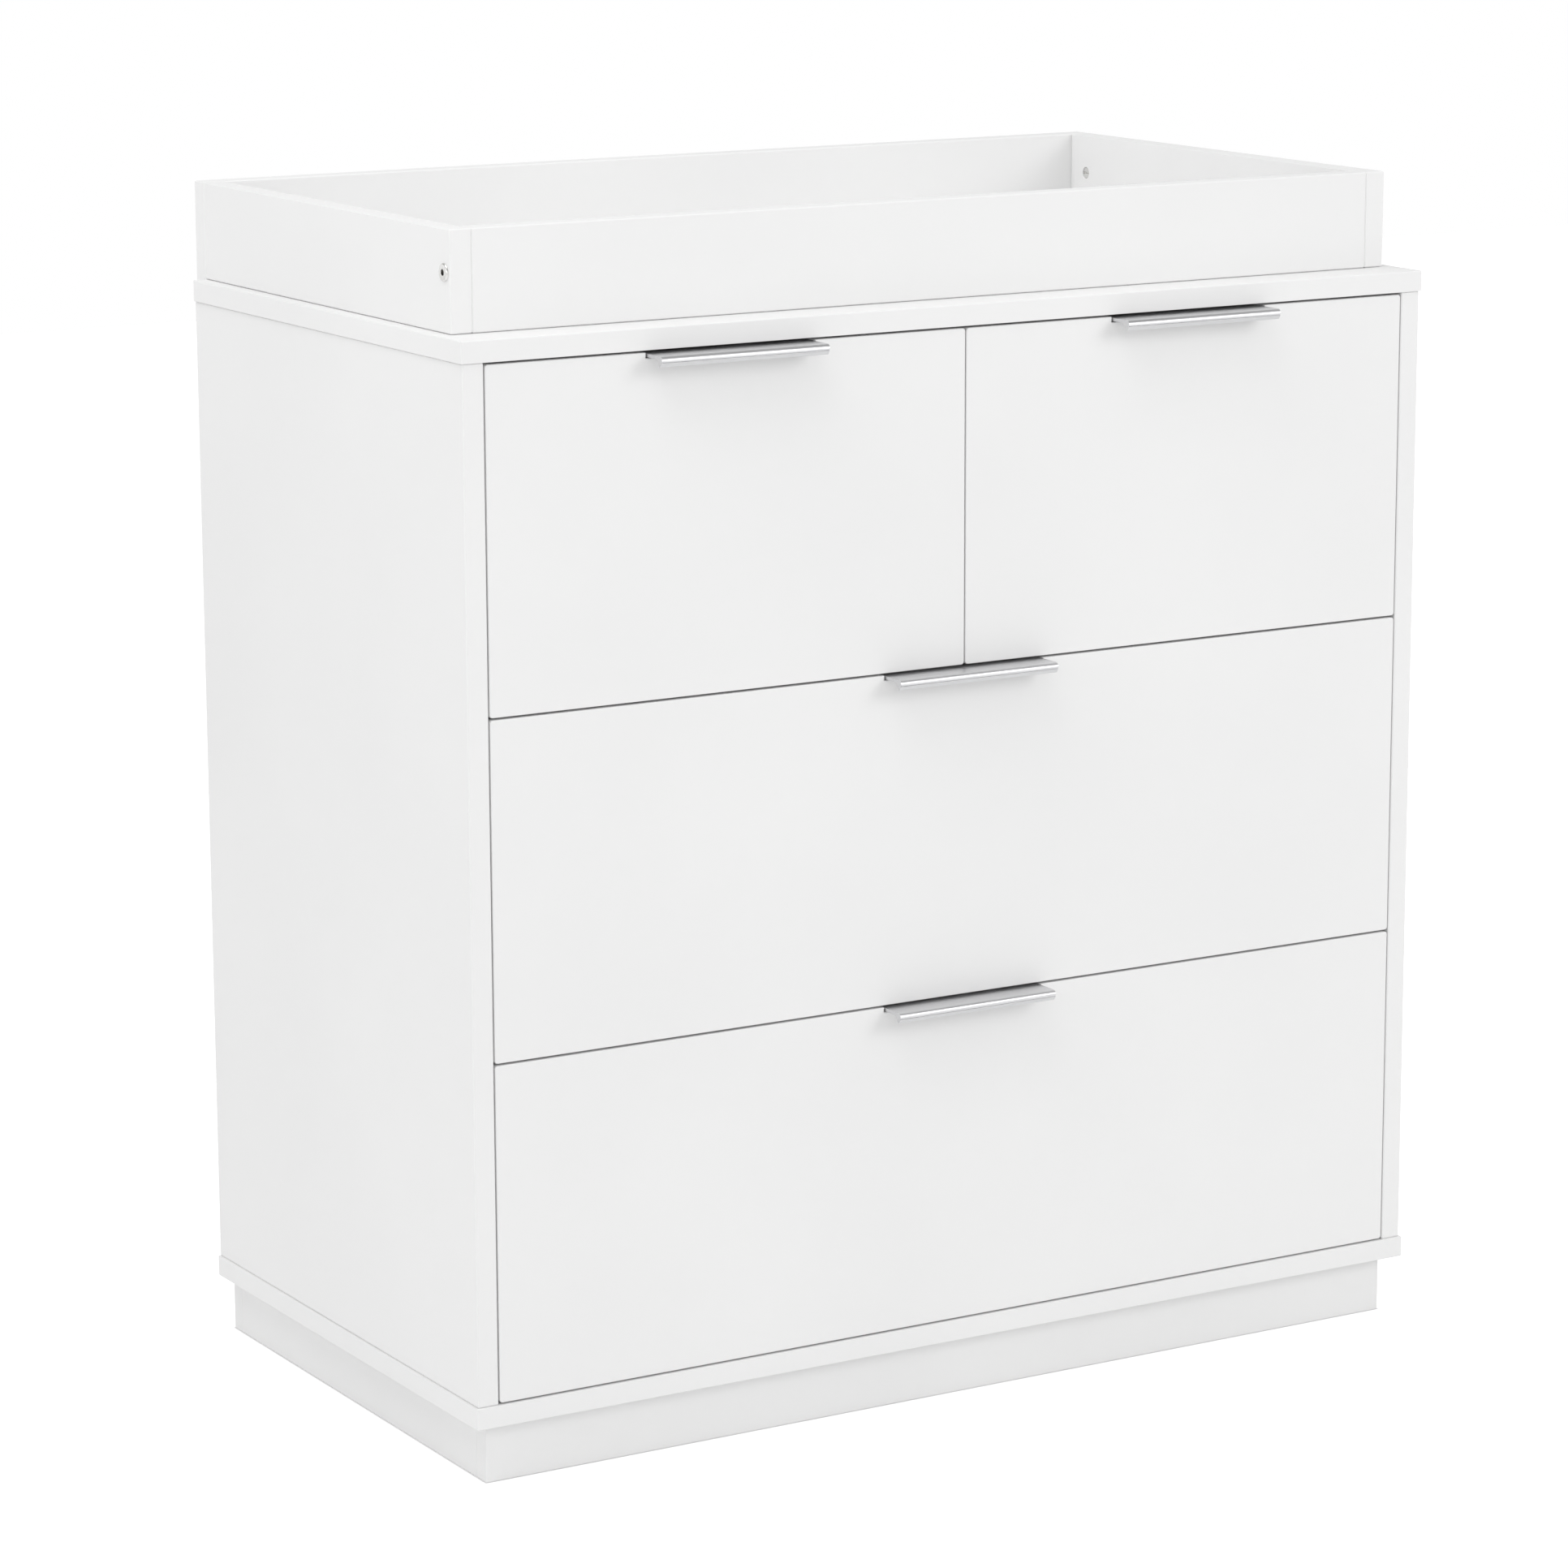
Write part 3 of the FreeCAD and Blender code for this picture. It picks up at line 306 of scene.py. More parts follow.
def finishPiece(name, vertices, faces, node):
    # doubles merged, faces turned outwards, large faces kept flat by weighted normals
    mesh = bpy.data.meshes.new(name)
    mesh.from_pydata(vertices.tolist(), [], faces)
    work = bmesh.new()
    work.from_mesh(mesh)
    bmesh.ops.remove_doubles(work, verts=work.verts, dist=meshSettings["merge"])
    bmesh.ops.dissolve_degenerate(work, edges=work.edges, dist=meshSettings["speck"])
    bmesh.ops.recalc_face_normals(work, faces=work.faces)
    work.to_mesh(mesh)
    work.free()
    mesh.shade_smooth()
    mesh.set_sharp_from_angle(angle=math.radians(meshSettings["sharpAngle"]))
    piece = bpy.data.objects.new(name, mesh)
    bpy.context.scene.collection.objects.link(piece)
    mesh.materials.append(materials[slotOf[node]])
    weighted = piece.modifiers.new("flatFaces", "WEIGHTED_NORMAL")
    weighted.keep_sharp = True
    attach(piece, bodyOf[node])
    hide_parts(node)
    return piece


def gridFaces(rows, columns):
    # four-sided faces of a grid whose columns close on themselves
    row, column = np.meshgrid(np.arange(rows - 1), np.arange(columns), indexing="ij")
    here = row * columns + column
    beside = row * columns + (column + 1) % columns
    return np.stack([here, beside, beside + columns, here + columns], axis=-1).reshape(-1, 4).tolist()


def roundedOutline(corners, radii, inset=0.0, steps=7):
    # every corner becomes an arc that touches both its sides; an inset first moves all sides
    # inwards by that much, so the arc of a corner that sticks out shrinks and that of a nook grows
    corners = np.asarray(corners, float)
    incoming = corners - np.roll(corners, 1, axis=0)
    outgoing = np.roll(corners, -1, axis=0) - corners
    incoming /= np.linalg.norm(incoming, axis=1, keepdims=True)
    outgoing /= np.linalg.norm(outgoing, axis=1, keepdims=True)
    turn = incoming[:, 0] * outgoing[:, 1] - incoming[:, 1] * outgoing[:, 0]
    following = np.roll(corners, -1, axis=0)
    around = corners[:, 0] * following[:, 1] - corners[:, 1] * following[:, 0]
    way = np.sign(around.sum())    # which way round the outline runs
    sideIn = way * np.stack([-incoming[:, 1], incoming[:, 0]], axis=1)
    sideOut = way * np.stack([-outgoing[:, 1], outgoing[:, 0]], axis=1)
    meet = (sideIn + sideOut) / (1 + (sideIn * sideOut).sum(axis=1, keepdims=True))
    points = corners + inset * meet
    sticksOut = turn * way > 0
    radii = np.asarray(radii, float)
    radius = np.where(sticksOut, np.maximum(radii - inset, 1e-6), radii + inset)
    half = np.arccos(np.clip((incoming * outgoing).sum(axis=1), -1, 1)) / 2
    reach = radius * np.tan(half)
    first = points - incoming * reach[:, None]
    towards = np.where(sticksOut[:, None], sideIn, -sideIn)
    middle = first + towards * radius[:, None]
    angle = np.linspace(0, 1, steps)[None, :] * (2 * half * np.sign(turn))[:, None]
    arm = first - middle
    across = arm[:, None, 0] * np.cos(angle) - arm[:, None, 1] * np.sin(angle)
    up = arm[:, None, 0] * np.sin(angle) + arm[:, None, 1] * np.cos(angle)
    return (middle[:, None, :] + np.stack([across, up], axis=-1)).reshape(-1, 2)


def easedRows(low, high, easeLow, easeHigh, steps=4):
    # (place along the sweep, inset there): a quarter circle at each end
    quarter = np.linspace(0, math.pi / 2, steps)
    along, inset = 1 - np.sin(quarter), 1 - np.cos(quarter)
    lower = np.stack([low + easeLow * along, easeLow * inset], axis=1)
    upper = np.stack([high - easeHigh * along, easeHigh * inset], axis=1)
    return np.concatenate([lower[::-1], upper])


def sweptArrays(corners, radii, along, rows, steps=7):
    # an outline carried along X, Y or Z: each row is the outline at its own inset
    outlines = [roundedOutline(corners, radii, inset, steps) for place, inset in rows]
    columns = len(outlines[0])
    flat = np.concatenate(outlines)
    sweep = np.repeat(rows[:, 0], columns)
    order = {
        "x": (sweep, flat[:, 0], flat[:, 1]),
        "y": (flat[:, 0], sweep, flat[:, 1]),
        "z": (flat[:, 0], flat[:, 1], sweep),
    }[along]
    faces = gridFaces(len(rows), columns)
    faces.append(list(range(columns)))
    faces.append(list(range((len(rows) - 1) * columns, len(rows) * columns)))
    return np.stack(order, axis=1), faces


def sweptPiece(name, node, corners, radii, along, rows, steps=7):
    return finishPiece(name, *sweptArrays(corners, radii, along, rows, steps), node)


def joined(shapes):
    # several (vertices, faces) as one
    vertices, faces, count = [], [], 0
    for points, sides in shapes:
        faces += [[index + count for index in side] for side in sides]
        vertices.append(points)
        count += len(points)
    return np.concatenate(vertices), faces


# lacquered boards that show their edges all round

boardSettings = {
    "boards": ["top_panel", "base_panel", "plinth_front", "plinth_back", "plinth_left", "plinth_right"],
    "edge": 0.9 * mm,
    "jointEdge": 0.5 * mm,    # where the side panels meet the top and the base
    "trayLine": 0.3 * mm,     # shadow line under the tray's boards
}


def easedBoard(node, settings):
    low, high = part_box(node)
    edge = settings["edge"]
    easeLow = settings["jointEdge"] if node == "top_panel" else edge
    easeHigh = settings["jointEdge"] if node == "base_panel" else edge
    top = high.z - (settings["trayLine"] if node == "top_panel" else 0)
    corners = [(low.x, low.y), (high.x, low.y), (high.x, high.y), (low.x, high.y)]
    rows = easedRows(low.z, top, easeLow, easeHigh)
    return sweptPiece(node.replace("_", "") + "Eased", node, corners, [edge] * 4, "z", rows)


for node in boardSettings["boards"]:
    easedBoard(node, boardSettings)
print("boards:", len(boardSettings["boards"]))


# drawer fronts

frontSettings = {
    "corner": 2.5 * mm,
    "faceEdge": 0.9 * mm,
    "rearEdge": 0.4 * mm,
    "notchCorner": 0.3 * mm,
    "notchDepth": 4.0 * mm,
    "pullPlay": 0.8 * mm,
    "sideGrowth": 0.35 * mm,   # larger than the CAD fronts, for seams as fine as the photograph's
    "rowGrowth": 0.1 * mm,     # next to another row
    "topGrowth": 0.6 * mm,     # under the top panel
    "bottomGrowth": 2.3 * mm,  # over the base
}


def drawerFront(drawer, settings):
    low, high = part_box(drawer + "_front")
    pullLow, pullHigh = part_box(drawer + "_pull")
    left, right = pullLow.x - settings["pullPlay"], pullHigh.x + settings["pullPlay"]
    floor = high.z - settings["notchDepth"]
    first, last = low.x - settings["sideGrowth"], high.x + settings["sideGrowth"]
    top = high.z + settings["topGrowth" if drawer.startswith("upper") else "rowGrowth"]
    bottom = low.z - settings["bottomGrowth" if drawer.startswith("lower") else "rowGrowth"]
    corners = [
        (first, bottom), (last, bottom), (last, top), (right, top),
        (right, floor), (left, floor), (left, top), (first, top),
    ]
    outer, inner = settings["corner"], settings["notchCorner"]
    radii = [outer, outer, outer, inner, inner, inner, inner, outer]
    rows = easedRows(low.y, high.y, settings["faceEdge"], settings["rearEdge"])
    return sweptPiece(drawer + "Front", drawer + "_front", corners, radii, "y", rows)


for drawer in drawers:
    drawerFront(drawer, frontSettings)
print("drawer fronts:", len(drawers))


# extruded pulls

pullSettings = {
    "plate": 2.8 * mm,
    "legThick": 2.0 * mm,
    "tipDown": 8.6 * mm,       # lip's tip below the plate's upper face
    "noseDown": 4.9 * mm,      # where the lip slants back
    "grooveWide": 0.8 * mm,    # fine line under the nose
    "grooveDeep": 1.3 * mm,
    "grooveSlant": 0.75,       # its lower side starts this share of half its width back
    "tipBack": 2.8 * mm,
    "tipWidth": 1.8 * mm,
    "lipRoot": 9.0 * mm,
    "noseRound": 4.6 * mm,
    "tipRound": 0.7 * mm,
    "innerRound": 4.5 * mm,
    "legRound": 2.4 * mm,
    "smallRound": 0.2 * mm,
    "sawnEdge": 0.25 * mm,
}


def edgePull(drawer, settings):
    low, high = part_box(drawer + "_pull")
    front, rear, top, bottom = low.y, high.y, high.z, low.z
    legFront = rear - settings["legThick"]
    under = top - settings["plate"]
    tipZ = top - settings["tipDown"]
    tip = front + settings["tipBack"]
    line = top - settings["noseDown"]
    half, deep = settings["grooveWide"] / 2, settings["grooveDeep"]
    small, nose = settings["smallRound"], settings["noseRound"] - 2 * half
    section = [    # (y, z, rounding), from the leg's foot round the nose and back under the plate
        (legFront, bottom, small),
        (rear, bottom, small),
        (rear, top, settings["legRound"]),
        (front, top, nose),
        (front, line + half, small / 2),
        (front + deep, line, small / 2),
        (front + half * settings["grooveSlant"], line - half, small / 2),
        (tip, tipZ, settings["tipRound"]),
        (tip + settings["tipWidth"], tipZ, settings["tipRound"]),
        (front + settings["lipRoot"], under, settings["innerRound"]),
        (legFront, under, small),
    ]
    corners = [(y, z) for y, z, rounding in section]
    radii = [rounding for y, z, rounding in section]
    rows = easedRows(low.x, high.x, settings["sawnEdge"], settings["sawnEdge"], 3)
    return sweptPiece(drawer + "Pull", drawer + "_pull", corners, radii, "x", rows, 13)


for drawer in drawers:
    edgePull(drawer, pullSettings)
print("pulls:", len(drawers))


# turned fittings: heads with a driver recess, and their shanks

def recessRadius(angle, kind, size, width):
    # distance from the middle to the recess's wall: size / cos(angle) for a hexagon of that half
    # width, folded into each sixth of a turn, and the lesser of size / cos(angle) and
    # width / sin(angle) for a slot, or for a cross, which is a slot folded into each quarter turn
    if kind == "hexagon":
        folded = (angle + math.pi / 6) % (math.pi / 3) - math.pi / 6
        return size / np.cos(folded)
    period = math.pi / 2 if kind == "cross" else math.pi
    folded = np.abs((angle + period / 2) % period - period / 2)
    across = size / np.maximum(np.cos(folded), 1e-6)
    return np.minimum(across, width / np.maximum(np.sin(folded), 1e-6))


turnedSettings = {
    # the recess from its floor outwards: (share of the wall's radius, share of the depth)
    "recessRows": [(0.02, 1.0), (0.9, 1.0), (1.0, 0.9), (1.03, 0.04)],
    "mouth": (1.08, 0.05 * mm),    # share of the wall's radius at the face, and a little more
    "backEdge": 0.1 * mm,          # bevel behind the head
    "threadRoot": 0.84,            # thread's root against its crest
    "tipRoot": 0.8,                # where the tip starts, against the crest
}


def turnedFitting(settings, turns=48):
    # rows of circles along the fitting's own axis, where z = 0 is its face and z grows inwards; their
    # radius in the recess follows the driver's shape
    angle = np.arange(turns) * 2 * math.pi / turns
    size, width = settings["recessSize"], settings.get("recessWidth", 0)
    recess = recessRadius(angle, settings["recess"], size, width)
    head, high, bevel = settings["head"], settings["headHeight"], settings["bevel"]
    depth, backEdge = settings["recessDepth"], turnedSettings["backEdge"]
    quarter = np.linspace(0, math.pi / 2, 6)
    wider, more = turnedSettings["mouth"]
    rows = [(recess * share, depth * deep) for share, deep in turnedSettings["recessRows"]]
    rows.append((recess * wider + more, 0.0))
    rows += [(head - bevel + bevel * np.sin(part), bevel * (1 - np.cos(part))) for part in quarter]
    rows += [(head, high - backEdge), (head - backEdge, high)]
    if "shank" in settings:
        shank, pitch, tip = settings["shank"], settings["pitch"], settings["tip"]
        rows.append((shank, high))
        starts = high + settings["plain"] + pitch * np.arange(int(settings["threaded"] / pitch))
        for start in starts:
            rows += [(shank * turnedSettings["threadRoot"], start), (shank, start + pitch * 0.5)]
        end = high + settings["plain"] + settings["threaded"] + tip
        rows += [(shank * turnedSettings["tipRoot"], end - tip), (shank * settings["tipShare"], end)]
    radius = np.stack([np.broadcast_to(r, angle.shape) for r, z in rows])
    height = np.array([z for r, z in rows])[:, None] * np.ones_like(radius)
    vertices = np.stack([radius * np.cos(angle), radius * np.sin(angle), height], axis=-1)
    vertices = vertices.reshape(-1, 3)
    faces = gridFaces(len(rows), turns)
    faces.append(list(range(turns)))
    faces.append(list(range((len(rows) - 1) * turns, len(rows) * turns)))
    return vertices, faces


def setOfFittings(name, node, settings, spots):
    # copies of one turned fitting: each spot is (middle of its outer face, direction it goes in)
    vertices, faces = turnedFitting(settings)
    copies = []
    for spot, direction in spots:
        turn = np.array(Vector(direction).to_track_quat("Z", "Y").to_matrix())
        copies.append((vertices @ turn.T + np.array(spot), faces))
    return finishPiece(name, *joined(copies), node)


boltSettings = {
    "recess": "hexagon", "recessSize": 2.3 * mm, "recessDepth": 5.5 * mm,
    "head": 7.25 * mm, "headHeight": 1.8 * mm, "bevel": 1.5 * mm,
    "shank": 3.0 * mm, "plain": 20.0 * mm, "threaded": 28.0 * mm, "pitch": 1.0 * mm,
    "tip": 2.0 * mm, "tipShare": 0.7,
}
pullScrewSettings = {
    "recess": "cross", "recessSize": 1.9 * mm, "recessWidth": 0.5 * mm, "recessDepth": 1.2 * mm,
    "head": 3.4 * mm, "headHeight": 2.0 * mm, "bevel": 1.3 * mm,
    "shank": 1.75 * mm, "plain": 2.0 * mm, "threaded": 9.0 * mm, "pitch": 1.1 * mm,
    "tip": 3.0 * mm, "tipShare": 0.05,
}
trayScrewSettings = {
    "recess": "cross", "recessSize": 2.4 * mm, "recessWidth": 0.6 * mm, "recessDepth": 1.3 * mm,
    "head": 4.2 * mm, "headHeight": 1.8 * mm, "bevel": 1.2 * mm,
    "shank": 2.2 * mm, "plain": 16.0 * mm, "threaded": 24.0 * mm, "pitch": 1.8 * mm,
    "tip": 4.0 * mm, "tipShare": 0.05,
    "innerPlace": 130.0 * mm,    # of the two inner screws, either side of the middle
}
nutSettings = {
    "recess": "slot", "recessSize": 4.5 * mm, "recessWidth": 0.7 * mm, "recessDepth": 1.8 * mm,
    "head": 5.1 * mm, "headHeight": 14.2 * mm, "bevel": 0.6 * mm, "sunk": 0.8 * mm,
    "frontPlace": 404.6 * mm,    # of the nuts in the front board, either side of the middle
    "holeRadius": 5.2 * mm,
}
camSettings = {
    "recess": "cross", "recessSize": 3.6 * mm, "recessWidth": 0.9 * mm, "recessDepth": 2.5 * mm,
    "head": 7.0 * mm, "headHeight": 12.5 * mm, "bevel": 0.4 * mm, "holeRadius": 7.5 * mm,
}


def middle(low, high):
    return (low + high) / 2


boltLow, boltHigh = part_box("tray_bolts")
boltZ = middle(boltLow.z, boltHigh.z)
frontBoardLow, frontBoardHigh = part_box("tray_front")
sideLow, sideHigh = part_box("tray_left")
boltY = middle(frontBoardLow.y, frontBoardHigh.y)
boltX = middle(sideLow.x, sideHigh.x)
setOfFittings("trayBolts", "tray_bolts", boltSettings, [
    ((boltLow.x, boltY, boltZ), (1, 0, 0)),
    ((boltHigh.x, boltY, boltZ), (-1, 0, 0)),
    ((boltX, boltHigh.y, boltZ), (0, -1, 0)),
    ((-boltX, boltHigh.y, boltZ), (0, -1, 0)),
])
screwLow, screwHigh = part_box("tray_fixing_screws")
screwZ = middle(screwLow.z, screwHigh.z)
outerX, innerX = screwHigh.x - trayScrewSettings["head"], trayScrewSettings["innerPlace"]
setOfFittings("trayFixingScrews", "tray_fixing_screws", trayScrewSettings, [
    ((x, screwHigh.y, screwZ), (0, -1, 0)) for x in (-outerX, -innerX, innerX, outerX)
])
nutLow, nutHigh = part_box("tray_barrel_nuts")
nutZ = middle(nutLow.z, nutHigh.z)
sunk, frontNutX = nutSettings["sunk"], nutSettings["frontPlace"]
backNutY = nutHigh.y - nutSettings["holeRadius"]
setOfFittings("trayBarrelNuts", "tray_barrel_nuts", nutSettings, [
    ((-frontNutX, frontBoardHigh.y - sunk, nutZ), (0, -1, 0)),
    ((frontNutX, frontBoardHigh.y - sunk, nutZ), (0, -1, 0)),
    ((sideHigh.x - sunk, backNutY, nutZ), (-1, 0, 0)),
    ((-sideHigh.x + sunk, backNutY, nutZ), (1, 0, 0)),
])
camLow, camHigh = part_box("case_cams")
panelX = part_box("right_side_panel")[0].x
hole = camSettings["holeRadius"]
setOfFittings("caseCams", "case_cams", camSettings, [
    ((side * panelX, y, z), (side, 0, 0)) for side in (-1, 1)
    for y in (camLow.y + hole, camHigh.y - hole) for z in (camLow.z + hole, camHigh.z - hole)
])
for drawer in drawers:
    low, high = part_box(drawer + "_pull_screws")
    head = pullScrewSettings["head"]
    setOfFittings(drawer + "PullScrews", drawer + "_pull_screws", pullScrewSettings, [
        ((x, high.y, middle(low.z, high.z)), (0, -1, 0)) for x in (low.x + head, high.x - head)
    ])
print("turned fittings: 4 bolts, 4 nuts, 8 cams, 12 screws")


# ball cages: folded strips with round balls

cageSettings = {
    "wall": 0.8 * mm,
    "reach": 7.9 * mm,       # flange from the web's outer face
    "flangeAt": 13.6 * mm,   # flange, and its balls, above or below the runner's middle
    "foldOuter": 0.9 * mm,
    "foldInner": 0.26 * mm,
    "flangeTip": 0.24 * mm,
    "endEdge": 0.16 * mm,
    "ballRadius": 2.2 * mm,
    "ballIn": 5.0 * mm,
    "ballsInRow": 3,
}


def roundBall(centre, radius, rings=13, turns=24):
    # x = r sin a cos b, y = r sin a sin b, z = r cos a
    steps = np.linspace(0, math.pi, rings), np.arange(turns) * 2 * math.pi / turns
    a, b = np.meshgrid(*steps, indexing="ij")
    unit = np.stack([np.sin(a) * np.cos(b), np.sin(a) * np.sin(b), np.cos(a)], axis=-1)
    return np.array(centre) + radius * unit.reshape(-1, 3), gridFaces(rings, turns)


def ballCages(drawer, settings):
    low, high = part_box(drawer + "_ball_cages")
    wall, reach = settings["wall"], settings["reach"]
    height = settings["flangeAt"] + wall / 2
    centreZ = middle(low.z, high.z)
    pitch = (high.y - low.y) / settings["ballsInRow"]
    outerFold, innerFold, tip = settings["foldOuter"], settings["foldInner"], settings["flangeTip"]
    section = [
        (0, -height), (reach, -height), (reach, wall - height), (wall, wall - height),
        (wall, height - wall), (reach, height - wall), (reach, height), (0, height),
    ]
    radii = [outerFold, tip, tip, innerFold, innerFold, tip, tip, outerFold]
    rows = easedRows(low.y, high.y, settings["endEdge"], settings["endEdge"], 2)
    shapes = []
    for outer, inward in ((low.x, 1), (high.x, -1)):
        corners = [(outer + inward * along, centreZ + up) for along, up in section]
        shapes.append(sweptArrays(corners, radii, "y", rows))
        for number in range(settings["ballsInRow"]):
            for side in (-1, 1):
                centre = (outer + inward * settings["ballIn"], low.y + (number + 0.5) * pitch,
                          centreZ + side * settings["flangeAt"])
                shapes.append(roundBall(centre, settings["ballRadius"]))
    return finishPiece(drawer + "BallCages", *joined(shapes), drawer + "_ball_cages")


for drawer in drawers:
    ballCages(drawer, cageSettings)
print("ball cages:", 2 * len(drawers), "with", cageSettings["ballsInRow"], "balls in each row")


# floor, light and camera

stageSettings = {
    "floorSize": 14.0,
    "floorTone": (0.90, 0.90, 0.90),
    "floorRough": 0.9,
    "glow": 0.62,            # for the camera
    "mirroredGlow": 0.05,    # in the metal
    "contact": 3.5 * mm,     # painted contact shadow: the glow comes in over this width round the plinth
}


def plinthDistance(tree, width):
    # 0 at the plinth's outline to 1 at the width outside it, by
    # max(|x| - half the plinth's width, |y - its middle| - half its depth)
    frontLow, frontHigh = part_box("plinth_front")
    backLow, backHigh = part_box("plinth_back")
    half = ((frontHigh.x - frontLow.x) / 2, (backHigh.y - frontLow.y) / 2, 0)
    place = tree.nodes.new("ShaderNodeTexCoord")
    moved = tree.nodes.new("ShaderNodeVectorMath")
    moved.operation = "SUBTRACT"
    moved.inputs[1].default_value = (0, middle(frontLow.y, backHigh.y), 0)
    tree.links.new(place.outputs["Object"], moved.inputs[0])
    folded = tree.nodes.new("ShaderNodeVectorMath")
    folded.operation = "ABSOLUTE"
    tree.links.new(moved.outputs[0], folded.inputs[0])
    beyond = tree.nodes.new("ShaderNodeVectorMath")
    beyond.operation = "SUBTRACT"
    beyond.inputs[1].default_value = half
    tree.links.new(folded.outputs[0], beyond.inputs[0])
    split = tree.nodes.new("ShaderNodeSeparateXYZ")
    tree.links.new(beyond.outputs[0], split.inputs[0])
    far = tree.nodes.new("ShaderNodeMath")
    far.operation = "MAXIMUM"
    tree.links.new(split.outputs["X"], far.inputs[0])
    tree.links.new(split.outputs["Y"], far.inputs[1])
    rise = tree.nodes.new("ShaderNodeMapRange")
    rise.interpolation_type = "SMOOTHSTEP"
    rise.inputs["From Min"].default_value = 0.0
    rise.inputs["From Max"].default_value = width
    tree.links.new(far.outputs[0], rise.inputs["Value"])
    return rise.outputs["Result"]


def studioFloor(settings):
    # white for the camera and in the metal, with the object's shadow kept: plain diffuse plus a glow
    # that lights nothing else; next to the plinth the camera's glow is taken away, which paints a
    # contact shadow on top of the real one
    side = settings["floorSize"] / 2
    mesh = bpy.data.meshes.new("floor")
    corners = [(-side, -side, 0), (side, -side, 0), (side, side, 0), (-side, side, 0)]
    mesh.from_pydata(corners, [], [(0, 1, 2, 3)])
    floor = bpy.data.objects.new("floor", mesh)
    bpy.context.scene.collection.objects.link(floor)
    material = bpy.data.materials.new("floorPaper")
    material.use_nodes = True
    tree = material.node_tree
    shader = tree.nodes["Principled BSDF"]
    shader.inputs["Base Color"].default_value = (*settings["floorTone"], 1)
    shader.inputs["Roughness"].default_value = settings["floorRough"]
    shader.inputs["Specular IOR Level"].default_value = 0.0
    shader.inputs["Emission Color"].default_value = (1, 1, 1, 1)
    path = tree.nodes.new("ShaderNodeLightPath")
    seen = tree.nodes.new("ShaderNodeMath")
    seen.operation = "MULTIPLY"
    seen.inputs[1].default_value = settings["glow"]
    tree.links.new(path.outputs["Is Camera Ray"], seen.inputs[0])
    # painted contact shadow: the camera's glow fades to nothing at the plinth, so the floor there shows
    # only its lit diffuse, real shade and painted shade together
    glowPastPaintedShade = tree.nodes.new("ShaderNodeMath")
    glowPastPaintedShade.operation = "MULTIPLY"
    tree.links.new(seen.outputs[0], glowPastPaintedShade.inputs[0])
    tree.links.new(plinthDistance(tree, settings["contact"]), glowPastPaintedShade.inputs[1])
    mirrored = tree.nodes.new("ShaderNodeMath")
    mirrored.operation = "MULTIPLY_ADD"
    mirrored.inputs[1].default_value = settings["mirroredGlow"]
    tree.links.new(path.outputs["Is Glossy Ray"], mirrored.inputs[0])
    tree.links.new(glowPastPaintedShade.outputs[0], mirrored.inputs[2])
    tree.links.new(mirrored.outputs[0], shader.inputs["Emission Strength"])
    mesh.materials.append(material)


studioFloor(stageSettings)

skySettings = {
    "ambient": 0.71,
    "background": 1.0,
    "ceiling": 0.42,          # tone overhead in the metal, against 1 at the horizon
    "horizon": (0.10, 0.55),  # between these heights the one turns into the other
}


def studioSky(settings):
    # even ambient light; the camera sees plain white, and metal mirrors a white room with a greyer
    # ceiling
    world = bpy.data.worlds.new("studio")
    world.use_nodes = True
    tree = world.node_tree
    backdrop = tree.nodes["Background"]
    backdrop.inputs["Color"].default_value = (1, 1, 1, 1)
    path = tree.nodes.new("ShaderNodeLightPath")
    seen = tree.nodes.new("ShaderNodeMath")
    seen.operation = "MAXIMUM"
    tree.links.new(path.outputs["Is Camera Ray"], seen.inputs[0])
    tree.links.new(path.outputs["Is Glossy Ray"], seen.inputs[1])
    through = tree.nodes.new("ShaderNodeMath")
    through.operation = "MAXIMUM"
    tree.links.new(seen.outputs[0], through.inputs[0])
    tree.links.new(path.outputs["Is Transmission Ray"], through.inputs[1])
    strength = tree.nodes.new("ShaderNodeMapRange")
    strength.inputs["To Min"].default_value = settings["ambient"]
    strength.inputs["To Max"].default_value = settings["background"]
    tree.links.new(through.outputs[0], strength.inputs["Value"])
    tree.links.new(strength.outputs["Result"], backdrop.inputs["Strength"])
    direction = tree.nodes.new("ShaderNodeTexCoord")
    height = tree.nodes.new("ShaderNodeSeparateXYZ")
    tree.links.new(direction.outputs["Generated"], height.inputs["Vector"])
    shade = tree.nodes.new("ShaderNodeMapRange")
    shade.interpolation_type = "SMOOTHSTEP"
    shade.inputs["From Min"].default_value, shade.inputs["From Max"].default_value = settings["horizon"]
    shade.inputs["To Min"].default_value = 1.0
    shade.inputs["To Max"].default_value = settings["ceiling"]
    tree.links.new(height.outputs["Z"], shade.inputs["Value"])
    mirrored = tree.nodes.new("ShaderNodeMix")
    mirrored.data_type = "FLOAT"
    mirrored.inputs["A"].default_value = 1.0
    tree.links.new(path.outputs["Is Glossy Ray"], mirrored.inputs["Factor"])
    tree.links.new(shade.outputs["Result"], mirrored.inputs["B"])
    tree.links.new(mirrored.outputs["Result"], backdrop.inputs["Color"])
    bpy.context.scene.world = world


studioSky(skySettings)

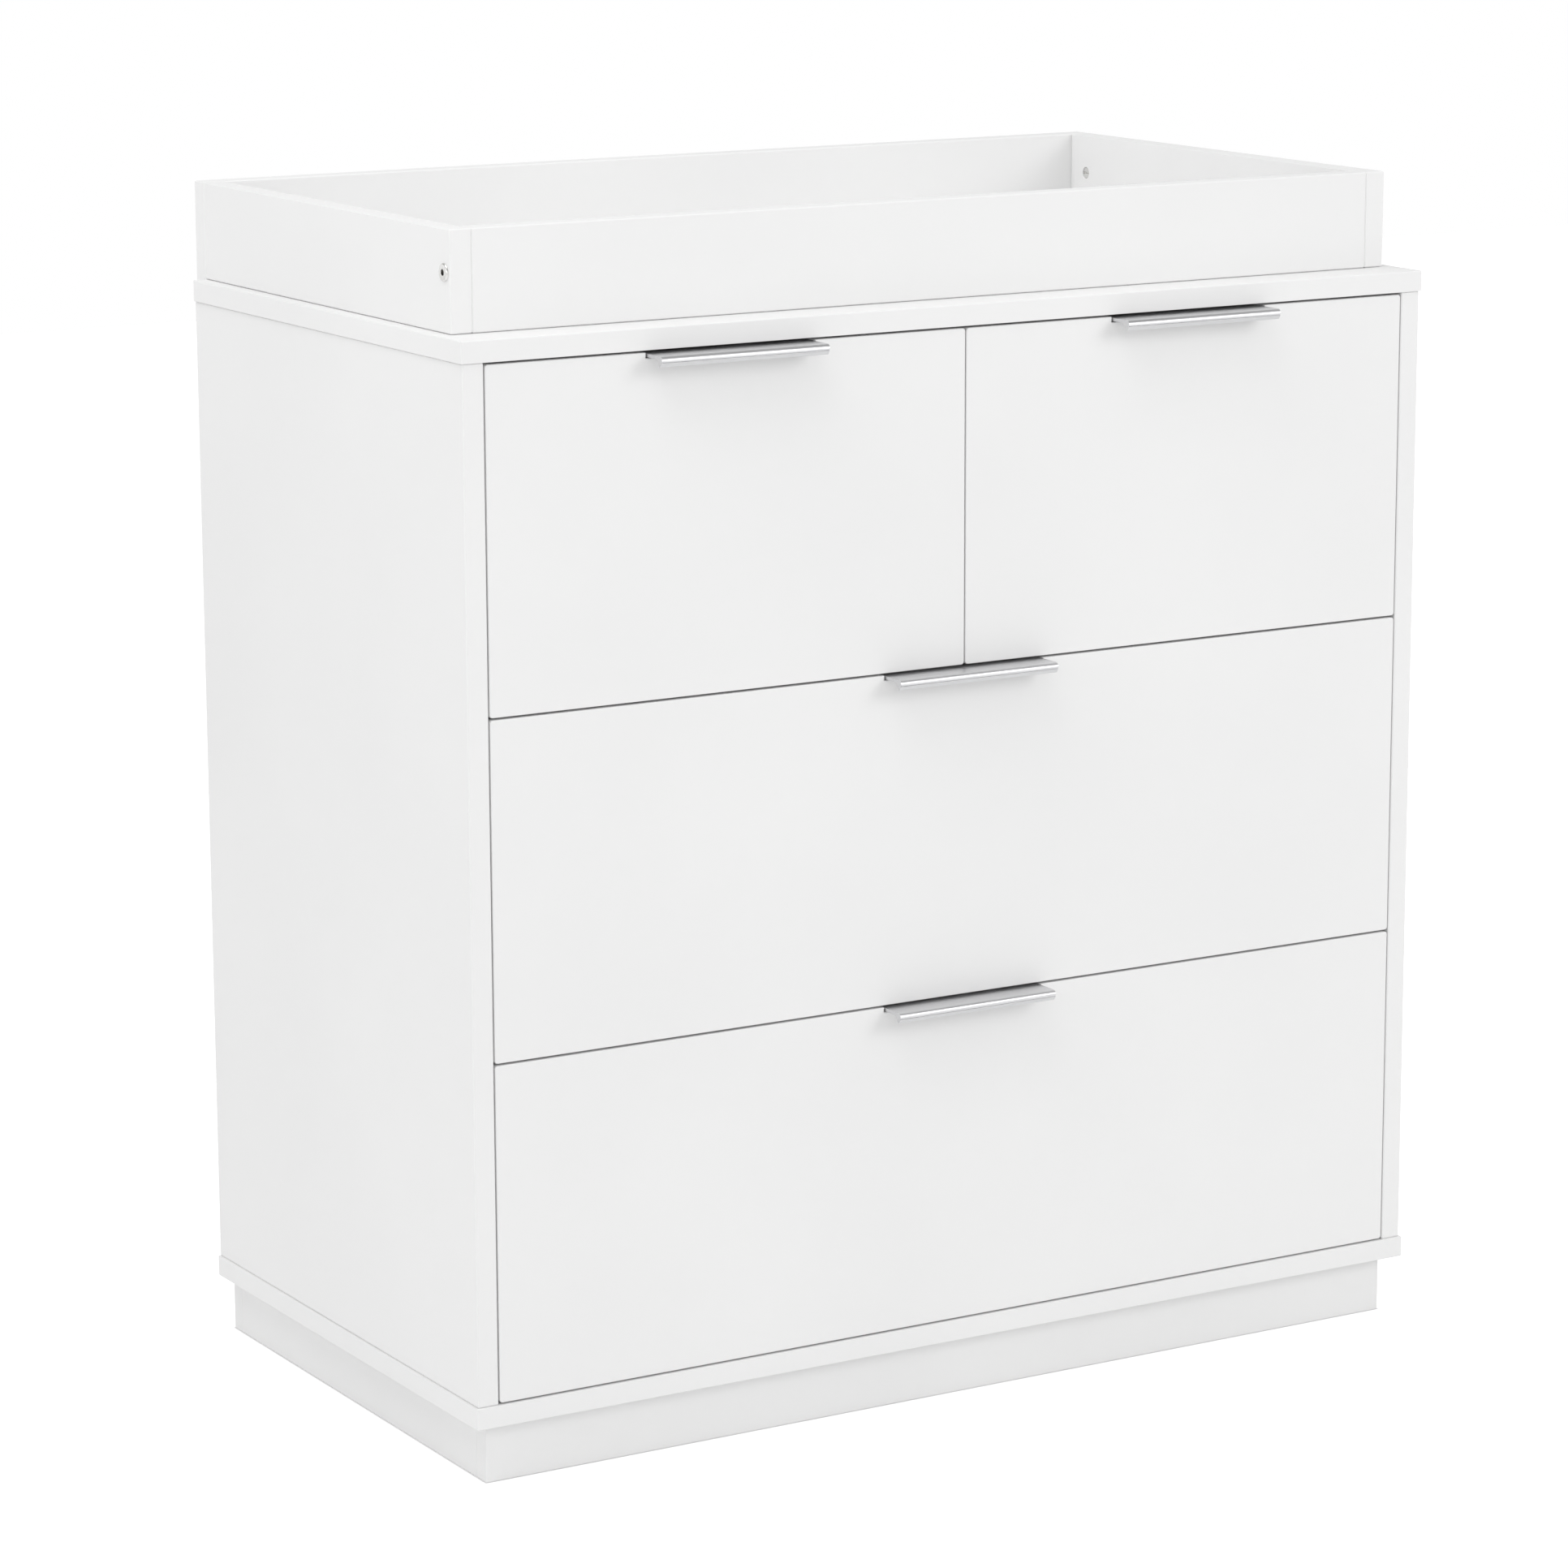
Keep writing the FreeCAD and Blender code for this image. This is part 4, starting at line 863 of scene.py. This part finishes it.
lampSettings = {
    "key": {
        "place": (2.2, -3.8, 2.6), "target": (0.0, 0.0, 0.4), "size": (2.4, 1.8), "watts": 45.0,
    },
    "fill": {
        "place": (-3.9, -1.2, 1.9), "target": (0.0, 0.0, 0.5), "size": (2.4, 2.0), "watts": 15.0,
    },
    "overhead": {
        "place": (-1.6, -0.5, 3.6), "target": (0.0, 0.0, 0.8), "size": (2.6, 2.0), "watts": 36.0,
    },
}


def areaLamp(name, settings):
    data = bpy.data.lights.new(name, "AREA")
    data.shape = "RECTANGLE"
    data.size, data.size_y = settings["size"]
    data.energy = settings["watts"]
    lamp = bpy.data.objects.new(name, data)
    lamp.location = settings["place"]
    aim = Vector(settings["target"]) - Vector(settings["place"])
    lamp.rotation_euler = aim.to_track_quat("-Z", "Y").to_euler()
    bpy.context.scene.collection.objects.link(lamp)


for name, settings in lampSettings.items():
    areaLamp(name, settings)

cameraSettings = {
    "place": (-2.3024, -3.8360, 1.4282),
    "heading": 30.66,    # degrees from straight on, turned to the user's right
    "down": 11.91,
    "roll": -0.18,
    "sensor": 36.0,      # mm, as the lens
    "lens": 121.37,
}


def photoCamera(settings):
    heading, down, roll = (math.radians(settings[key]) for key in ("heading", "down", "roll"))
    ahead = Vector((math.sin(heading), math.cos(heading), 0.0))
    forward = ahead * math.cos(down) - Vector((0.0, 0.0, math.sin(down)))
    level = Vector((math.cos(heading), -math.sin(heading), 0.0))
    up = level.cross(forward)
    right = level * math.cos(roll) + up * math.sin(roll)
    top = up * math.cos(roll) - level * math.sin(roll)
    data = bpy.data.cameras.new("photoCamera")
    data.sensor_width = settings["sensor"]
    data.lens = settings["lens"]
    camera = bpy.data.objects.new("photoCamera", data)
    turn = Matrix((right, top, -forward)).transposed().to_4x4()
    camera.matrix_world = Matrix.Translation(settings["place"]) @ turn
    bpy.context.scene.collection.objects.link(camera)
    bpy.context.scene.camera = camera


photoCamera(cameraSettings)
bpy.context.scene.view_settings.view_transform = "Standard"
print("stage: floor, sky, lamps and camera")

bpy.context.view_layer.update()
